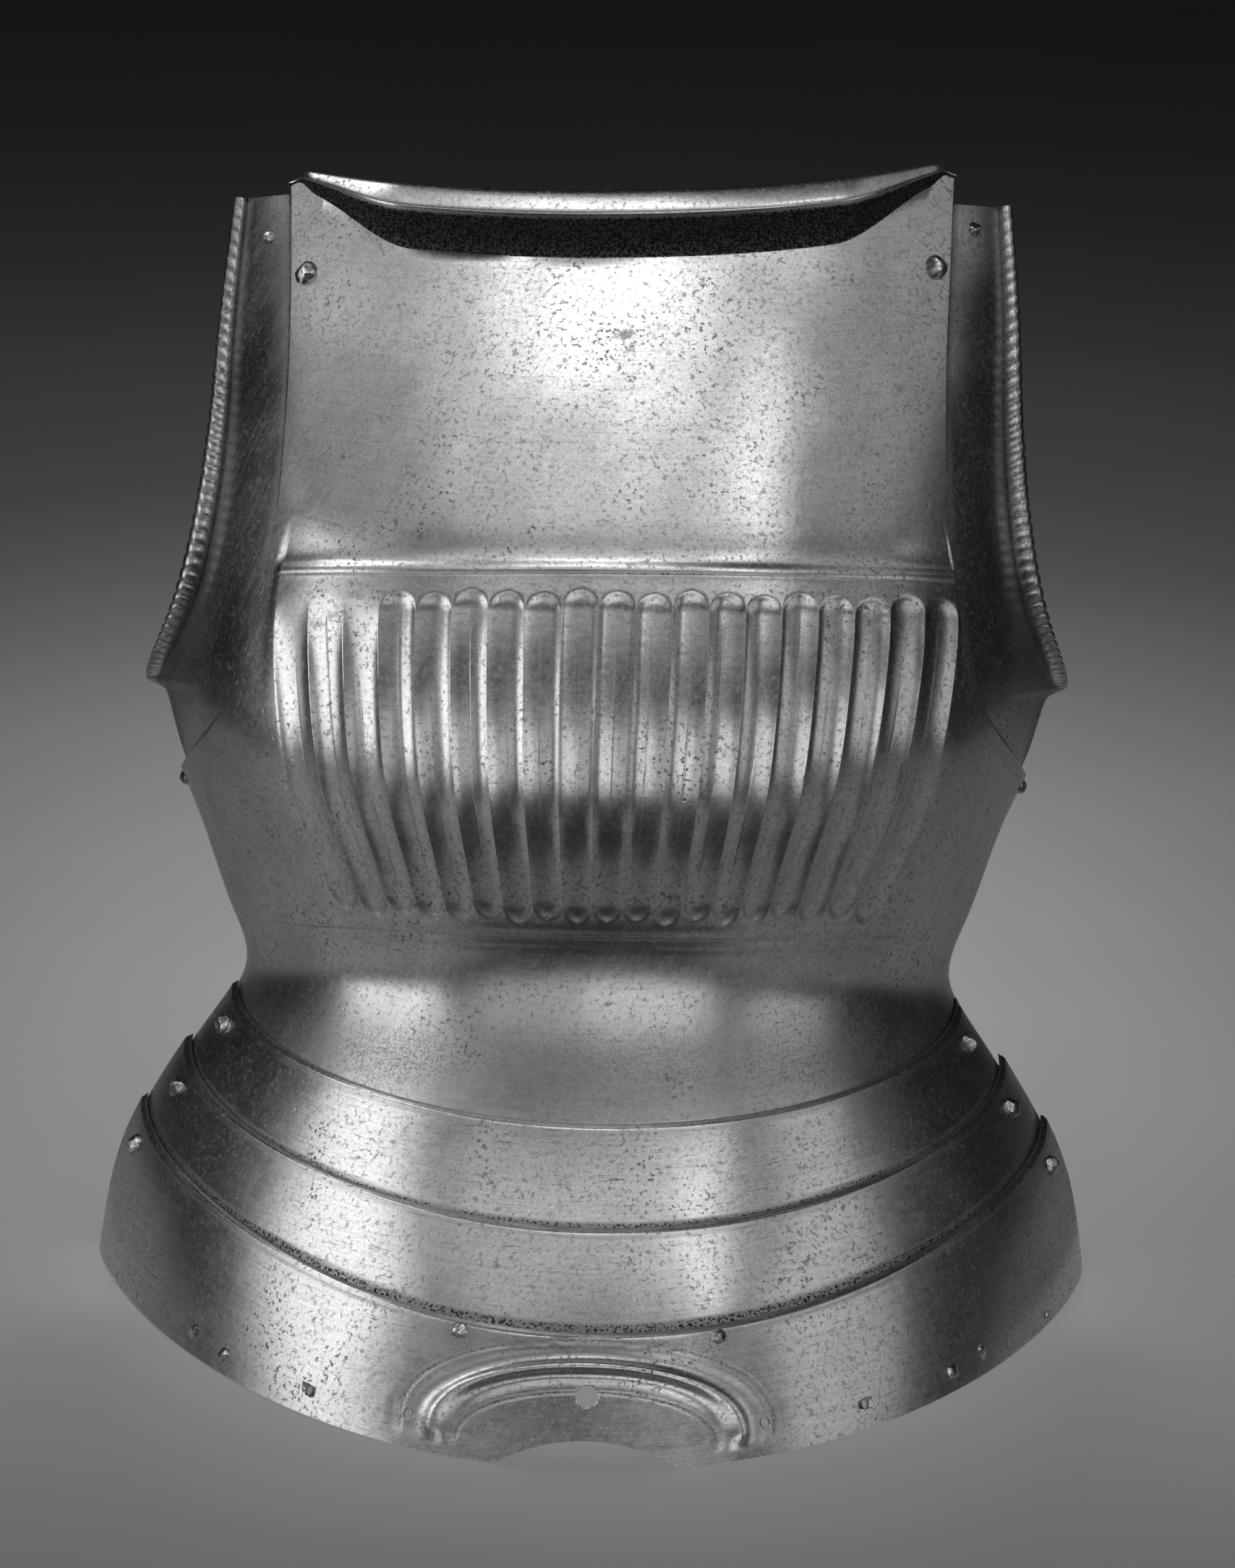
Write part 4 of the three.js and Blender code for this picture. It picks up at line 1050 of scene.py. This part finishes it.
main_plate()
gusset(1, "gusset_right")
gusset(-1, "gusset_left")
lame(1, "first_lame")
lame(2, "second_lame")
last_lame()
for number, (name, kind, place, z, outer_sheet, inner_sheet, body) in enumerate(RIVETS):
    for side in (-1, 1):
        rivet(name, kind, place, z, outer_sheet, inner_sheet, body, side, 100 + 2 * number + side)

# ---- Studio ----------------------------------------------------------------------------------------

SOFT_BOX_AIM = Vector((0, 0, 0.2))
# name, place and size in metres, power in watts
SOFT_BOXES = [
    ("left_box", (-0.66, -0.16, 0.32), (0.34, 0.40), 0.8),
    ("right_box", (0.70, -0.25, 0.32), (0.40, 0.40), 0.32),
    ("overhead_box", (-0.15, -1.41, 2.87), (3.8, 1.83), 17),
    ("glow_box", (-0.06, -0.27, 1.30), (0.72, 0.3), 0.9),
    ("crown_box", (-0.06, -0.22, 1.25), (0.3, 0.15), 0.26),
    ("left_strip", (-1.42, 0.33, 1.835), (0.4, 1.0), 5.0),
    ("right_strip", (1.09, -1.03, 1.835), (0.32, 0.9), 2.0),
    ("left_wing", (-1.67, -0.34, 1.7), (1.4, 1.2), 2.0),
    ("right_wing", (1.69, -0.2, 1.7), (1.4, 1.2), 2.0),
    ("front_right_box", (0.62, -1.66, 0.55), (1.4, 0.95), 4.8),
    ("front_left_box", (-0.72, -1.62, 0.55), (1.6, 0.95), 3.0),
]
# name, place and half the size in metres, tone of grey
DARK_CARDS = [
    ("near_card", (0, -0.5, 0.004), (0.28, 0.32), 0.03),
    ("far_card", (0, -1.35, 0.003), (1.6, 0.2), 0.03),
    ("far_left_card", (-1.2, -0.25, 0.003), (0.4, 0.58), 0.03),
    ("far_right_card", (1.2, -0.25, 0.003), (0.4, 0.58), 0.03),
    ("left_card", (-0.5, 0.1, 0.004), (0.28, 0.5), 0.4),
    ("right_card", (0.5, 0.1, 0.004), (0.28, 0.5), 0.4),
]

CAMERA_PLACE = np.array([0.0, -1900.0, 103.0])  # in front of the upright torso, in millimetres
CAMERA_LENS = 107.3
CAMERA_SHIFT = 0.0088
CAMERA_DIP = 0.745  # degrees that it looks further down than square to the torso
CAMERA_ROLL = 1.4


def flat_sheet(name, place, near, far):
    """A level rectangle with its near left and far right corners given from its place."""
    (left, front), (right, back) = near, far
    mesh = bpy.data.meshes.new(name)
    corners = [(left, front, 0), (right, front, 0), (right, back, 0), (left, back, 0)]
    mesh.from_pydata(corners, [], [(0, 1, 2, 3)])
    sheet = add_object(name, mesh)
    sheet.location = place
    return sheet


def studio_floor():
    floor = flat_sheet("floor", (0, 0, 0), (-12, -8), (12, 16))
    paint = Paint("pale_floor")
    tint = paint.blend(paint.noise(3, 3).step(0.3, 0.7), (0.62, 0.62, 0.62, 1), (0.66, 0.66, 0.66, 1))
    floor.data.materials.append(paint.finish({"Base Color": tint, "Roughness": 0.75}))
    return floor


def floor_lights(floor):
    """Two groups that a light can be given: one lights only the floor, the other all but the floor."""
    groups = []
    for name, state in (("on_floor", "INCLUDE"), ("off_floor", "EXCLUDE")):
        group = bpy.data.collections.new(name)
        group.objects.link(floor)
        group.collection_objects[0].light_linking.link_state = state
        groups.append(group)
    return groups


def add_lamp(name, place, size, power, away, group):
    """An area light at a place in metres, with away the direction that it looks away from."""
    light = bpy.data.lights.new(name, "AREA")
    light.shape = "RECTANGLE"
    light.size, light.size_y = size
    light.energy = power
    lamp = add_object(name, light)
    lamp.location = place
    lamp.rotation_euler = away.to_track_quat("Z", "Y").to_euler()
    lamp.light_linking.receiver_collection = group
    lamp.visible_camera = False


def soft_box(name, place, size, power, group):
    """A soft light at a place in metres, facing the middle of the piece."""
    place = Vector(place)
    add_lamp(name, place, size, power, place - SOFT_BOX_AIM, group)


def floor_pool(name, place, size, spread, power, group):
    """A light that looks straight down and lays a soft-edged pool on the floor."""
    add_lamp(name, place, size, power, Vector((0, 0, 1)), group)
    bpy.data.lights[name].spread = math.radians(spread)


def dark_card(name, place, half, tone):
    """A dark card on the floor for the steel to mirror. The camera doesn't see it and it throws no shade."""
    card = flat_sheet(name, place, (-half[0], -half[1]), half)
    card.visible_camera = False
    card.visible_shadow = False
    card.visible_diffuse = False
    paint = Paint(name)
    tint = paint.blend(paint.noise(6, 2).step(0.3, 0.7), grey(tone * 0.9), grey(tone * 1.1))
    card.data.materials.append(paint.finish({"Base Color": tint, "Roughness": 0.9}))


floor = studio_floor()
on_floor, off_floor = floor_lights(floor)
for name, place, size, power in SOFT_BOXES:
    soft_box(name, place, size, power, off_floor)
floor_pool("near_pool", (0, 0.35, 1.5), (0.25, 1.1), 50, 1.1, on_floor)
bpy.data.lights["near_pool"].use_shadow = False
floor_pool("far_pool", (0, 0.9, 1.4), (0.3, 0.3), 180, 2.2, on_floor)
for name, place, half, tone in DARK_CARDS:
    dark_card(name, place, half, tone)

world = bpy.data.worlds.new("studio")
world.use_nodes = True
world.node_tree.nodes["Background"].inputs["Color"].default_value = (0.009, 0.009, 0.01, 1)
bpy.context.scene.world = world

camera_data = bpy.data.cameras.new("camera")
camera_data.lens = CAMERA_LENS
camera_data.sensor_width = 36
camera_data.shift_x = CAMERA_SHIFT
camera = add_object("camera", camera_data)
dip = Matrix.Rotation(math.radians(90 - math.degrees(LEAN) - CAMERA_DIP), 4, "X")
roll = Matrix.Rotation(math.radians(CAMERA_ROLL), 4, "Z")
camera.matrix_world = Matrix.Translation(Vector(standing(CAMERA_PLACE))) @ dip @ roll
bpy.context.scene.camera = camera
bpy.context.scene.view_settings.view_transform = "Standard"
